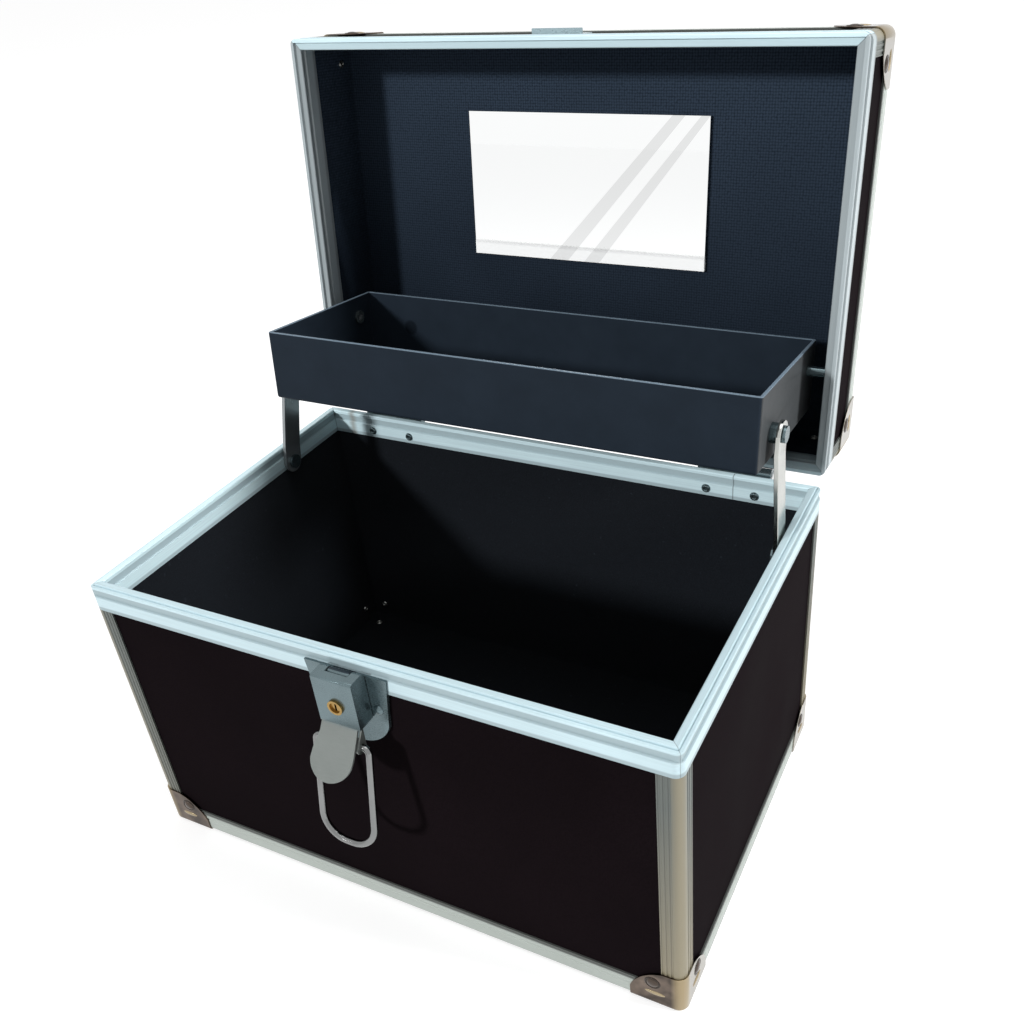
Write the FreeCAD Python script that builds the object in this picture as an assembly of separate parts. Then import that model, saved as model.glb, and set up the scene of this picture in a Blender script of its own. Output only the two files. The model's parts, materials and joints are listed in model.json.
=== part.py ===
import FreeCAD, Part
import math
import os

# Makeup case of dark boards in aluminium profiles, standing open.
# A tray hangs between the lid and two arms, and rises as the lid opens.
# Millimetres, +X right, +Y back, +Z up; the origin is on the floor under the middle of the case.

# Case and lid, over their profiles
case_width = 280.0
case_depth = 186.0
body_height = 148.5
lid_height = 47.7
rim_gap = 0.4
open_angle = 96.7

# Boards and lining
board_thickness = 3.6
lining_thickness = 0.6

# Clearances, and how far a cutting shape runs past what it cuts
seat_clearance = 0.2
side_clearance = 0.2
running_clearance = 0.05
swing_clearance = 0.35
overrun = 5.0

# Corner and edge profiles
profile_thickness = 0.8
corner_radius = 4.0
edge_radius = 1.5
corner_leg = 10.0
edge_leg = 12.0
edge_foot = 10.0
flute_width = 1.2
flute_depth = 0.3
flute_pitch = 2.0
flute_floor_share = 0.5
flutes_per_leg = 3

# Rim extrusions: the crown's points are shares of the rim's width and of its head's height
rim_height = 12.0
rim_head = 5.6
body_crown_shares = (
    (0.0, -0.89), (0.17, -0.79), (0.17, -0.27), (0.03, -0.17), (0.03, -0.05), (0.10, 0.0),
    (0.34, 0.0), (0.375, -0.08), (0.41, 0.11), (0.47, 0.16), (0.92, 0.16), (1.0, 0.09),
    (1.0, -0.16), (0.85, -0.27), (0.85, -0.79), (1.0, -0.89),
)
lid_crown_shares = (
    (0.0, -0.89), (0.17, -0.79), (0.17, -0.27), (0.03, -0.17), (0.03, -0.05), (0.10, 0.0),
    (0.365, 0.0), (0.395, -0.18), (0.46, -0.215), (0.94, -0.215), (1.0, -0.27),
    (1.0, -0.36), (0.85, -0.45), (0.85, -0.79), (1.0, -0.89),
)

# Pressed corner caps: the outline's points are shares of the reach and the rise
cap_thickness = 0.7
cap_reach = 24.0
cap_rise = 22.0
cap_shoulder_shares = (0.40, 0.98)
cap_bulge_shares = (0.76, 0.74)
cap_toe_shares = (1.0, 0.32)

# Butt hinges on the back
hinge_from_end = 42.5
hinge_axis_out = 3.0
leaf_width = 36.0
leaf_length = 11.5
leaf_thickness = 1.0
knuckle_radius = 2.6
knuckle_gap = 0.3
hinge_pin_radius = 1.2

# Lifting arms and their pivots
arm_pivot_from_back = 48.06
arm_pivot_below_rim = 8.49
arm_width = 12.0
arm_thickness = 2.0
arm_from_rim = 0.6
arm_joggle = 3.6
joggle_start = 8.0
joggle_end = 46.0
arm_eye_radius = 3.3
stud_shank_radius = 2.0
stud_shoulder_radius = 4.0
stud_head_radius = 3.75
stud_head_thickness = 1.2

# Tray, its pivot on the lid and its pivot on the arms
tray_from_arm = 3.4
tray_depth = 86.5
tray_height = 34.0
tray_wall = 1.6
tray_radius = 1.4
tray_pivot_from_back = 46.6
tray_pivot_above_rim = 9.5
tray_pivot_from_front = 73.0
tray_pivot_below_top = 10.9
arm_joint_from_front = 17.5
arm_joint_below_top = 20.9
tray_turn_share = 0.0729
spacer_radius = 4.5
lid_stud_radius = 2.3
lid_shank_radius = 1.6
lid_head_radius = 3.5

# Mirror on the lid's inside
mirror_width = 128.0
mirror_length = 71.0
mirror_thickness = 2.0
mirror_from_back = 79.5

# Latch base on the front: drops are measured down from the body's rim
base_top_drop = 4.5
base_waist_drop = 29.5
base_foot_drop = 41.5
base_top_half = 19.7
base_waist_half = 16.5
base_thickness = 0.9
lug_half_width = 5.0
lug_radius = 2.1
latch_pin_radius = 1.1

# Latch lever, bent from one sheet
lever_pivot_drop = 4.7
lever_pivot_out = 3.4
lever_curl_radius = 2.2
lever_half_width = 9.7
lever_thickness = 0.9
lever_front_out = 10.0
lever_bottom_drop = 26.0
lever_bend_radius = 1.2
notch_half_width = 5.5
notch_front_out = 5.9
tab_out = 16.0
tab_drop = 16.8
tab_root = 1.2
tab_neck_half = 8.2
tab_half_width = 9.9
tab_wide_shares = (0.50, 0.66)

# Wire bail on the lever's ears
bail_axis_out = 11.3
bail_axis_drop = 33.5
bail_ear_radius = 3.0
wire_radius = 1.5
bail_half_width = 13.0
bail_length = 50.0
bail_corner_radius = 11.5
bail_bend_radius = 2.4
bail_end_inset = 0.6
bail_lean = 11.0

# Key lock in the lever
lock_drop = 16.2
lock_radius = 3.5
lock_proud = 1.0
lock_recess_radius = 2.5
lock_recess_depth = 0.8
lock_collar_radius = 4.4
lock_collar_thickness = 0.8
lock_cam_length = 8.0
lock_cam_width = 3.2
lock_cam_thickness = 1.0
lock_core_length = 1.5
key_slot_width = 0.9
key_slot_depth = 2.6
key_slot_share = 0.75

# Catch on the lid's front, above the rim's flange
catch_above_flange = 0.4
catch_height = 11.0
catch_half_width = 12.5
catch_thickness = 0.9
catch_lip_out = 2.4
catch_lip_thickness = 1.0

# Carrying handle on the lid's top
handle_span = 96.0
handle_length = 28.0
handle_radius = 4.5
handle_corner_radius = 12.0
handle_pivot_height = 6.6
handle_eye_width = 10.0
handle_eye_radius = 4.9
handle_pin_radius = 2.0
bracket_plate_width = 24.0
bracket_plate_depth = 18.0
bracket_thickness = 1.2
bracket_ear_radius = 4.2

# Sizes that follow
rim_width = board_thickness + 2 * profile_thickness
floor_low = cap_thickness + profile_thickness
floor_high = floor_low + board_thickness
lid_rim = body_height + rim_gap
lid_face = lid_rim + lid_height - floor_low
inner_flange = case_width / 2 - rim_width
hinge_from_middle = case_width / 2 - hinge_from_end
arm_foot_outer = inner_flange - arm_from_rim
arm_outer = arm_foot_outer - arm_joggle
arm_from_middle = arm_outer - arm_thickness
tray_width = 2 * (arm_from_middle - tray_from_arm)
half_turn = 180.0
quarter_turn = 90.0
round_share = 1 - math.sqrt(0.5)

X_AXIS = FreeCAD.Vector(1, 0, 0)
Y_AXIS = FreeCAD.Vector(0, 1, 0)
Z_AXIS = FreeCAD.Vector(0, 0, 1)
ORIGIN = FreeCAD.Vector(0, 0, 0)


def at(x, y, z):
    return FreeCAD.Vector(x, y, z)


def turned_point(point, centre, degrees):
    """A point turned about an axis along X"""
    return centre + FreeCAD.Rotation(X_AXIS, degrees).multVec(point - centre)


def moved(shape, offset):
    copy = shape.copy()
    copy.translate(offset)
    return copy


def turned(shape, centre, axis, degrees):
    copy = shape.copy()
    copy.rotate(centre, axis, degrees)
    return copy


def mirrored(shape, normal):
    return shape.mirror(ORIGIN, normal)


def polygon(points):
    return Part.Face(Part.makePolygon(points + points[:1]))


def outline(start, steps):
    """Face whose edge runs from start; a step is an end point, or a pair that sets an arc"""
    edges = []
    here = start
    for step in steps:
        if isinstance(step, tuple):
            way_point, end = step
            edges.append(Part.Arc(here, way_point, end).toShape())
        else:
            end = step
            edges.append(Part.makeLine(here, end))
        here = end
    return Part.Face(Part.Wire(edges))


def edges_along(shape, axis):
    return [edge for edge in shape.Edges if edge.tangentAt(edge.FirstParameter).cross(axis).Length < 0.01]


def block(low, high):
    return Part.makeBox(high.x - low.x, high.y - low.y, high.z - low.z, low)


def rounded_block(width, depth, radius, low, high):
    plain = block(at(-width / 2, -depth / 2, low), at(width / 2, depth / 2, high))
    return plain.makeFillet(radius, edges_along(plain, Z_AXIS))


def rod(radius, start, end):
    return Part.makeCylinder(radius, (end - start).Length, start, end - start)


def round_wire(path, radius):
    """Round bar along a path of lines and arcs"""
    first = path.Edges[0]
    start = first.valueAt(first.FirstParameter)
    ring = Part.Wire(Part.makeCircle(radius, start, first.tangentAt(first.FirstParameter)))
    return path.makePipeShell([ring], True, False)


def one_solid(shape):
    return shape.removeSplitter().Solids[0]


def fluted_edge(far, sign):
    """Places along a leg, as (distance, depth) pairs, where its outer face is fluted"""
    places = []
    for index in range(flutes_per_leg):
        middle = far - (index + 0.5) * flute_pitch
        half = flute_width / 2
        floor = half * flute_floor_share
        places += [(middle + half, 0), (middle + floor, flute_depth)]
        places += [(middle - floor, flute_depth), (middle - half, 0)]
    return places if sign < 0 else places[::-1]


# Aluminium frame


def mitre_wedge(length, offset, low, high):
    """The plan of one side of a frame, with both ends at 45 degrees"""
    inward = edge_foot + overrun
    half = length / 2
    plan = [
        at(-half - overrun, -offset - overrun, low),
        at(half + overrun, -offset - overrun, low),
        at(half - inward, -offset + inward, low),
        at(-half + inward, -offset + inward, low),
    ]
    return polygon(plan).extrude(at(0, 0, high - low))


def frame(section, height, envelope, ring=None):
    """Four mitred lengths round the case, trimmed to an envelope, each with its share of a ring"""
    low = height - rim_height - overrun
    high = height + edge_leg + overrun

    def straight_length(length, offset, turn):
        wedge = turned(mitre_wedge(length, offset, low, high), ORIGIN, Z_AXIS, turn)
        bar = moved(section, at(-length / 2, -offset, height)).extrude(X_AXIS * length)
        bar = turned(bar, ORIGIN, Z_AXIS, turn).common(envelope).common(wedge)
        if ring:
            bar = bar.fuse(ring.common(wedge))
        return one_solid(bar)

    front = straight_length(case_width, case_depth / 2, 0)
    left = straight_length(case_depth, case_width / 2, -quarter_turn)
    return {
        "front": front,
        "back": mirrored(front, Y_AXIS),
        "left": left,
        "right": mirrored(left, X_AXIS),
    }


def rims(height, crown_shares):
    """Rim extrusion: a head with a grooved crown, and two flanges that hold the boards"""
    points = [at(0, 0, -rim_head)]
    points += [at(0, across * rim_width, up * rim_head) for across, up in crown_shares]
    points += [
        at(0, rim_width, -rim_height),
        at(0, rim_width - profile_thickness, -rim_height),
        at(0, rim_width - profile_thickness, -rim_head),
    ]
    inset = 2 * profile_thickness
    low = height - rim_height
    high = height - rim_head
    ring = rounded_block(case_width, case_depth, corner_radius, low, high)
    bend = corner_radius - profile_thickness
    room = rounded_block(case_width - inset, case_depth - inset, bend, low - overrun, high + overrun)
    envelope = rounded_block(case_width, case_depth, corner_radius, low - overrun, height + overrun)
    return frame(polygon(points), height, envelope, ring.cut(room))


def edge_profiles():
    """L profile round the floor: a fluted leg up the wall and a foot under the board"""
    points = [at(0, 0, edge_leg)]
    points += [at(0, depth, place) for place, depth in fluted_edge(edge_leg, -1)]
    points += [
        ORIGIN,
        at(0, edge_foot, 0),
        at(0, edge_foot, profile_thickness),
        at(0, profile_thickness, profile_thickness),
        at(0, profile_thickness, edge_leg),
    ]
    envelope = rounded_block(case_width, case_depth, corner_radius, cap_thickness, body_height)
    foot = [edge for edge in envelope.Edges if edge.BoundBox.ZMax < floor_low]
    envelope = envelope.makeFillet(edge_radius, foot)
    lengths = frame(polygon(points), cap_thickness, envelope)
    return Part.makeCompound(list(lengths.values()))


def four_corners(shape):
    """A piece made at the front left, and its copies at the other corners"""
    right = mirrored(shape, X_AXIS)
    return {
        "front_left": shape,
        "front_right": right,
        "back_left": mirrored(shape, Y_AXIS),
        "back_right": mirrored(right, Y_AXIS),
    }


def corner_profiles(height):
    """Fluted L profile with a round outer corner, up each corner of the walls"""
    low = cap_thickness + edge_leg
    inner = profile_thickness
    bend = corner_radius * round_share
    inner_bend = inner + (corner_radius - inner) * round_share
    steps = [at(corner_leg, 0, 0)]
    steps += [at(place, depth, 0) for place, depth in fluted_edge(corner_leg, -1)]
    steps += [at(corner_radius, 0, 0), (at(bend, bend, 0), at(0, corner_radius, 0))]
    steps += [at(depth, place, 0) for place, depth in fluted_edge(corner_leg, 1)]
    steps += [at(0, corner_leg, 0), at(inner, corner_leg, 0), at(inner, corner_radius, 0)]
    steps += [(at(inner_bend, inner_bend, 0), at(corner_radius, inner, 0)), at(corner_leg, inner, 0)]
    section = moved(outline(at(corner_leg, inner, 0), steps), at(-case_width / 2, -case_depth / 2, low))
    profile = section.extrude(at(0, 0, height - rim_height - low))
    return Part.makeCompound(list(four_corners(profile).values()))


def corner_block(out, low, radius, foot_radius):
    """Corner of a box at the origin, with round outer edges"""
    far = cap_reach + overrun
    plain = block(at(-out, -out, low), at(far, far, far))
    upright = []
    for edge in edges_along(plain, Z_AXIS):
        if max(edge.BoundBox.XMax, edge.BoundBox.YMax) < overrun:
            upright.append(edge)
    plain = plain.makeFillet(radius, upright)
    foot = []
    for edge in plain.Edges:
        bounds = edge.BoundBox
        if bounds.ZMax < low + foot_radius and bounds.XMin < cap_reach and bounds.YMin < cap_reach:
            foot.append(edge)
    return plain.makeFillet(foot_radius, foot)


def cap_leaf(reach, rise, point_at):
    """Outline of one leaf of a cap, placed by point_at(along, up)"""

    def place(shares):
        return point_at(shares[0] * reach, shares[1] * rise)

    steps = [
        place(cap_shoulder_shares),
        (place(cap_bulge_shares), place(cap_toe_shares)),
        point_at(reach, -overrun),
        point_at(-overrun, -overrun),
        point_at(-overrun, rise),
        point_at(0, rise),
    ]
    return outline(point_at(0, rise), steps)


def caps():
    """Pressed caps over the corners of the floor"""
    outer = corner_block(cap_thickness, 0, corner_radius + cap_thickness, edge_radius + cap_thickness)
    shell = outer.cut(corner_block(0, cap_thickness, corner_radius, edge_radius))
    span = 2 * overrun + cap_reach
    front = cap_leaf(cap_reach, cap_rise, lambda along, up: at(along, -overrun, up))
    side = cap_leaf(cap_reach, cap_rise, lambda along, up: at(-overrun, along, up))
    under = cap_leaf(cap_reach, cap_reach, lambda along, up: at(along, up, -overrun))
    shell = shell.common(front.extrude(at(0, span, 0)))
    shell = shell.common(side.extrude(at(span, 0, 0)))
    shell = shell.common(under.extrude(at(0, 0, span)))
    cap = moved(one_solid(shell), at(-case_width / 2, -case_depth / 2, 0))
    return four_corners(cap)


# Boards and lining


def walls(height):
    """Four boards that stand on the floor board and reach up into the rim"""
    width = case_width - 2 * profile_thickness
    depth = case_depth - 2 * profile_thickness
    high = height - rim_head
    stack = rounded_block(width, depth, corner_radius - profile_thickness + seat_clearance, floor_high, high)
    near = -depth / 2 + board_thickness
    edge = -width / 2 + board_thickness
    front = stack.common(block(at(-width, -depth, floor_high), at(width, near, high)))
    left = block(at(-width / 2, near, floor_high), at(edge, -near, high))
    return {
        "front": one_solid(front),
        "back": mirrored(one_solid(front), Y_AXIS),
        "left": left,
        "right": mirrored(left, X_AXIS),
    }


def floor_board():
    width = case_width - 2 * profile_thickness
    depth = case_depth - 2 * profile_thickness
    return rounded_block(
        width, depth, corner_radius - profile_thickness + seat_clearance, floor_low, floor_high
    )


def base_field():
    """Raised field under the base board, flush with the caps and clear of the feet and cap leaves"""
    long_x = case_width / 2 - edge_foot - seat_clearance
    long_y = case_depth / 2 - edge_foot - seat_clearance
    short_x = case_width / 2 - cap_reach - seat_clearance
    short_y = case_depth / 2 - cap_reach - seat_clearance
    quarter = [at(long_x, short_y, 0), at(short_x, short_y, 0), at(short_x, long_y, 0)]
    plan = quarter
    plan = plan + [at(-point.x, point.y, 0) for point in reversed(plan)]
    plan = plan + [at(point.x, -point.y, 0) for point in reversed(plan)]
    return polygon(plan).extrude(at(0, 0, floor_low))


def lining(height):
    """Thin felt box inside the boards, up to the rim's inner flange"""
    inset = profile_thickness + board_thickness
    half_x = case_width / 2 - inset
    half_y = case_depth / 2 - inset
    high = height - rim_height - seat_clearance
    outer = block(at(-half_x, -half_y, floor_high), at(half_x, half_y, high))
    half_x -= lining_thickness
    half_y -= lining_thickness
    inner = block(at(-half_x, -half_y, floor_high + lining_thickness), at(half_x, half_y, high + overrun))
    return outer.cut(inner)


# Hinges


hinge_axis = at(0, case_depth / 2 + hinge_axis_out, body_height + rim_gap / 2)


def opened(shape):
    """A piece of the closed lid, swung to where the lid stands"""
    return turned(shape, hinge_axis, X_AXIS, -open_angle)


def knuckle_span(index):
    pitch = leaf_width / 3
    start = -leaf_width / 2 + index * pitch
    return start + knuckle_gap / 2, start + pitch - knuckle_gap / 2


def hinge_rod(radius, low, high):
    return rod(radius, hinge_axis + at(low, 0, 0), hinge_axis + at(high, 0, 0))


def hinge_leaf(own, other, up):
    """Leaf on the back face, with its own knuckles and room for the other leaf's"""
    back = case_depth / 2
    tip = hinge_axis.z + up * leaf_length
    low = min(tip, hinge_axis.z)
    leaf = block(at(-leaf_width / 2, back, low), at(leaf_width / 2, back + leaf_thickness, low + leaf_length))
    for index in own:
        leaf = leaf.fuse(hinge_rod(knuckle_radius, *knuckle_span(index)))
    for index in other:
        low_end, high_end = knuckle_span(index)
        room = hinge_rod(knuckle_radius + swing_clearance, low_end - knuckle_gap, high_end + knuckle_gap)
        leaf = leaf.cut(room)
    bore = hinge_rod(hinge_pin_radius + running_clearance, -leaf_width, leaf_width)
    return one_solid(leaf.cut(bore))


def pair(shape):
    """The same piece on both hinges, left and right"""
    return {
        "left": moved(shape, at(-hinge_from_middle, 0, 0)),
        "right": moved(shape, at(hinge_from_middle, 0, 0)),
    }


def left_and_right(shape):
    return Part.makeCompound([mirrored(shape, X_AXIS), shape])


# Lifting linkage


arm_pivot = at(0, case_depth / 2 - arm_pivot_from_back, body_height - arm_pivot_below_rim)
tray_pivot_closed = at(0, case_depth / 2 - tray_pivot_from_back, lid_rim + tray_pivot_above_rim)
tray_pivot = turned_point(tray_pivot_closed, hinge_axis, -open_angle)
tray_tilt = tray_turn_share * open_angle
joint_forward = arm_joint_from_front - tray_pivot_from_front
joint_on_tray = at(0, joint_forward, tray_pivot_below_top - arm_joint_below_top)
arm_joint = turned_point(tray_pivot + joint_on_tray, tray_pivot, -tray_tilt)


def stepped_stud(steps, end, place):
    """Turned stud along X: each step is where it starts and its radius"""
    points = []
    starts = [step[0] for step in steps]
    for (start, radius), stop in zip(steps, starts[1:] + [end]):
        points += [at(start, radius, 0), at(stop, radius, 0)]
    points = [at(starts[0], 0, 0)] + points + [at(end, 0, 0)]
    return moved(polygon(points).revolve(ORIGIN, X_AXIS, 2 * half_turn), place)


def arm():
    """Bar joggled from the rim in to the tray, a close eye at the case and a wide one at the tray"""
    half = arm_width / 2
    length = (arm_joint - arm_pivot).Length
    along = (arm_joint - arm_pivot).normalize()
    across = at(0, -along.z, along.y)

    def bend(x, reach):
        return arm_pivot + X_AXIS * x + along * reach - across * half

    outer = [
        (arm_foot_outer, -arm_width),
        (arm_foot_outer, joggle_start),
        (arm_outer, joggle_end),
        (arm_outer, length + arm_width),
    ]
    strip = [bend(x, reach) for x, reach in outer]
    strip += [bend(x - arm_thickness, reach) for x, reach in reversed(outer)]
    steps = [
        arm_joint - across * half,
        (arm_joint + along * half, arm_joint + across * half),
        arm_pivot + across * half,
        (arm_pivot - along * half, arm_pivot - across * half),
    ]
    reach = X_AXIS * case_width
    bar = outline(arm_pivot - across * half, steps).extrude(reach)
    bar = bar.common(polygon(strip).extrude(across * arm_width))
    for centre, radius in ((arm_pivot, stud_shank_radius + running_clearance), (arm_joint, arm_eye_radius)):
        bar = bar.cut(rod(radius, centre, centre + reach))
    return one_solid(bar)


def arm_stud():
    """Shouldered stud on the rim's inner flange, that carries the arm"""
    inside = arm_foot_outer - arm_thickness - side_clearance
    steps = [
        (inner_flange, stud_shoulder_radius),
        (arm_foot_outer + side_clearance, stud_shank_radius),
        (inside, stud_head_radius),
    ]
    return stepped_stud(steps, inside - stud_head_thickness, arm_pivot)


def tray_stud():
    """Stud through the tray's wall, with a spacer, that the arm's wide eye rides on"""
    inner_wall = tray_width / 2 - tray_wall
    outside = arm_outer + side_clearance
    steps = [
        (inner_wall - stud_head_thickness, stud_head_radius),
        (inner_wall, stud_shank_radius),
        (tray_width / 2, spacer_radius),
        (arm_from_middle - side_clearance, stud_shank_radius),
        (outside, stud_head_radius),
    ]
    return stepped_stud(steps, outside + stud_head_thickness, arm_joint)


def lid_stud():
    """Long stud on the lid rim's inner flange, that the tray's back end turns on"""
    inner_wall = tray_width / 2 - tray_wall
    steps = [
        (inner_flange, lid_stud_radius),
        (tray_width / 2 + side_clearance, lid_shank_radius),
        (inner_wall - side_clearance, lid_head_radius),
    ]
    return stepped_stud(steps, inner_wall - side_clearance - stud_head_thickness, tray_pivot)


def tray():
    """Open tray with round edges, drawn level about its pivot and then tilted"""
    low = at(-tray_width / 2, -tray_pivot_from_front, tray_pivot_below_top - tray_height)
    high = at(tray_width / 2, tray_depth - tray_pivot_from_front, tray_pivot_below_top)
    shell = block(low, high)
    round_edges = [edge for edge in shell.Edges if edge.CenterOfMass.z < high.z - tray_wall]
    shell = shell.makeFillet(tray_radius, round_edges)
    wall = at(tray_wall, tray_wall, tray_wall)
    shell = shell.cut(block(low + wall, high - at(tray_wall, tray_wall, -overrun)))
    holes = ((ORIGIN, lid_shank_radius), (joint_on_tray, stud_shank_radius))
    for centre, radius in holes:
        reach = X_AXIS * tray_width
        shell = shell.cut(rod(radius + running_clearance, centre - reach, centre + reach))
    return turned(moved(shell, tray_pivot), tray_pivot, X_AXIS, -tray_tilt)


def mirror_plate():
    """Frameless mirror on the lining of the closed lid's top"""
    high = lid_face - board_thickness - lining_thickness
    back = case_depth / 2 - mirror_from_back
    plate = block(
        at(-mirror_width / 2, back - mirror_length, high - mirror_thickness), at(mirror_width / 2, back, high)
    )
    return opened(plate)


# Latch


def front_point(x, out, drop):
    """A place on the front: out from the profiles' face, down from the body's rim"""
    return at(x, -case_depth / 2 - out, body_height - drop)


def front_rod(radius, half_width, out, drop):
    return rod(radius, front_point(-half_width, out, drop), front_point(half_width, out, drop))


def front_block(half_width, out_low, out_high, drop_high, drop_low):
    return block(front_point(-half_width, out_high, drop_low), front_point(half_width, out_low, drop_high))


def latch_base():
    """Shield plate over the rim and the board, with a rolled lug for the lever's pin"""
    steps = [
        front_point(base_top_half, base_thickness, base_top_drop),
        front_point(base_waist_half, base_thickness, base_waist_drop),
        (
            front_point(0, base_thickness, base_foot_drop),
            front_point(-base_waist_half, base_thickness, base_waist_drop),
        ),
        front_point(-base_top_half, base_thickness, base_top_drop),
    ]
    shield = outline(front_point(-base_top_half, base_thickness, base_top_drop), steps)
    plate = shield.extrude(Y_AXIS * (base_thickness + profile_thickness))
    plate = plate.cut(front_block(case_width, -profile_thickness - overrun, 0, 0, rim_height))
    neck = front_block(lug_half_width, 0, lever_pivot_out, lever_pivot_drop, lever_pivot_drop + lug_radius)
    plate = plate.fuse(neck).fuse(front_rod(lug_radius, lug_half_width, lever_pivot_out, lever_pivot_drop))
    bore = front_rod(latch_pin_radius + running_clearance, case_width, lever_pivot_out, lever_pivot_drop)
    return one_solid(plate.cut(bore))


def latch_pin():
    return front_rod(latch_pin_radius, lever_half_width, lever_pivot_out, lever_pivot_drop)


def lever_cover():
    """Box of the lever: front, curled top and two side walls, open to the back and below"""
    top = lever_pivot_drop - lever_curl_radius
    back = lever_pivot_out - lever_curl_radius
    half = lever_half_width
    curl = lever_curl_radius * round_share
    bend = lever_bend_radius * round_share
    start = front_point(-half, back, lever_bottom_drop)
    steps = [
        front_point(-half, back, lever_pivot_drop),
        (front_point(-half, back + curl, top + curl), front_point(-half, lever_pivot_out, top)),
        front_point(-half, lever_front_out - lever_bend_radius, top),
        (
            front_point(-half, lever_front_out - bend, top + bend),
            front_point(-half, lever_front_out, top + lever_bend_radius),
        ),
        front_point(-half, lever_front_out, lever_bottom_drop),
        start,
    ]
    cover = outline(start, steps).extrude(X_AXIS * 2 * half)
    half -= lever_thickness
    top += lever_thickness
    back += lever_thickness
    curl = (lever_curl_radius - lever_thickness) * round_share
    front = lever_front_out - lever_thickness
    start = front_point(-half, -overrun, lever_bottom_drop + overrun)
    steps = [
        front_point(-half, -overrun, lever_pivot_drop),
        front_point(-half, back, lever_pivot_drop),
        (front_point(-half, back + curl, top + curl), front_point(-half, lever_pivot_out, top)),
        front_point(-half, front, top),
        front_point(-half, front, lever_bottom_drop + overrun),
        start,
    ]
    cover = cover.cut(outline(start, steps).extrude(X_AXIS * 2 * half))
    return cover.cut(front_block(notch_half_width, -overrun, notch_front_out, -overrun, lever_pivot_drop))


def lever_tab():
    """Finger tab that slopes out from the lever's lower edge and ends round"""
    length = math.hypot(tab_out, tab_drop)
    wide_start, wide_end = [share * length for share in tab_wide_shares]

    def place(x, along):
        out = lever_front_out + along * tab_out / length
        return front_point(x, out, lever_bottom_drop + along * tab_drop / length)

    steps = [
        place(-tab_neck_half, 0),
        place(-tab_half_width, wide_start),
        place(-tab_half_width, wide_end),
        (place(0, length), place(tab_half_width, wide_end)),
        place(tab_half_width, wide_start),
        place(tab_neck_half, 0),
        place(tab_neck_half, -tab_root),
        place(-tab_neck_half, -tab_root),
    ]
    inward = at(0, tab_drop, -tab_out) * (lever_thickness / length)
    return outline(place(-tab_neck_half, -tab_root), steps).extrude(inward)


def bail_ear():
    """Ear below the lever's left side wall, that holds one end of the bail"""
    x = -lever_half_width
    inner_out = bail_axis_out - bail_ear_radius
    start = front_point(x, inner_out, bail_axis_drop)
    steps = [
        front_point(x, inner_out, lever_bottom_drop - lever_thickness),
        front_point(x, lever_front_out - lever_thickness, lever_bottom_drop - lever_thickness),
        front_point(x, lever_front_out - lever_thickness, lever_bottom_drop),
        front_point(x, bail_axis_out + bail_ear_radius, bail_axis_drop),
        (front_point(x, bail_axis_out, bail_axis_drop + bail_ear_radius), start),
    ]
    return outline(start, steps).extrude(X_AXIS * lever_thickness)


def latch_lever():
    ear = bail_ear()
    lever = lever_cover().fuse(lever_tab()).fuse(ear).fuse(mirrored(ear, X_AXIS))
    lever = lever.cut(
        front_rod(latch_pin_radius + running_clearance, case_width, lever_pivot_out, lever_pivot_drop)
    )
    lever = lever.cut(front_rod(wire_radius + running_clearance, case_width, bail_axis_out, bail_axis_drop))
    lock_hole = rod(
        lock_radius + running_clearance,
        front_point(0, lever_front_out - overrun, lock_drop),
        front_point(0, lever_front_out + overrun, lock_drop),
    )
    return one_solid(lever.cut(lock_hole))


def lock_cylinder():
    """Key lock: a core with a key slot, a collar behind the lever's front and a cam"""
    tip = lever_front_out + lock_proud
    collar = lever_front_out - lever_thickness - side_clearance
    core_end = collar - lock_collar_thickness - lock_core_length
    core = rod(lock_radius, front_point(0, core_end, lock_drop), front_point(0, tip, lock_drop))
    core = core.fuse(
        rod(
            lock_collar_radius,
            front_point(0, collar - lock_collar_thickness, lock_drop),
            front_point(0, collar, lock_drop),
        )
    )
    cam_drop = lock_drop + lock_cam_length
    core = core.fuse(
        front_block(lock_cam_width / 2, core_end - lock_cam_thickness, core_end, lock_drop, cam_drop)
    )
    recess_floor = front_point(0, tip - lock_recess_depth, lock_drop)
    core = core.cut(rod(lock_recess_radius, recess_floor, front_point(0, tip + overrun, lock_drop)))
    slot_half = key_slot_share * lock_recess_radius
    slot = front_block(
        key_slot_width / 2, tip - key_slot_depth, tip + overrun, lock_drop - slot_half, lock_drop + slot_half
    )
    return one_solid(core.cut(slot))


def latch_bail():
    """Wire loop whose ends turn in through the lever's ears, leaning out as it rests"""
    half = bail_half_width
    end = lever_half_width - lever_thickness - bail_end_inset
    bend = bail_bend_radius
    corner = bail_corner_radius

    def place(x, along):
        return front_point(x, bail_axis_out, bail_axis_drop + along)

    def side(sign):
        points = [
            place(sign * end, 0),
            place(sign * (half - bend), 0),
            place(sign * (half - bend * round_share), bend * round_share),
            place(sign * half, bend),
            place(sign * half, bail_length - corner),
            place(sign * (half - corner * round_share), bail_length - corner * round_share),
            place(sign * (half - corner), bail_length),
        ]
        return [
            Part.makeLine(points[0], points[1]),
            Part.Arc(points[1], points[2], points[3]).toShape(),
            Part.makeLine(points[3], points[4]),
            Part.Arc(points[4], points[5], points[6]).toShape(),
        ]

    floor = Part.makeLine(place(corner - half, bail_length), place(half - corner, bail_length))
    path = Part.Wire(Part.__sortEdges__(side(-1) + [floor] + side(1)))
    return turned(round_wire(path, wire_radius), place(0, 0), X_AXIS, -bail_lean)


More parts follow.
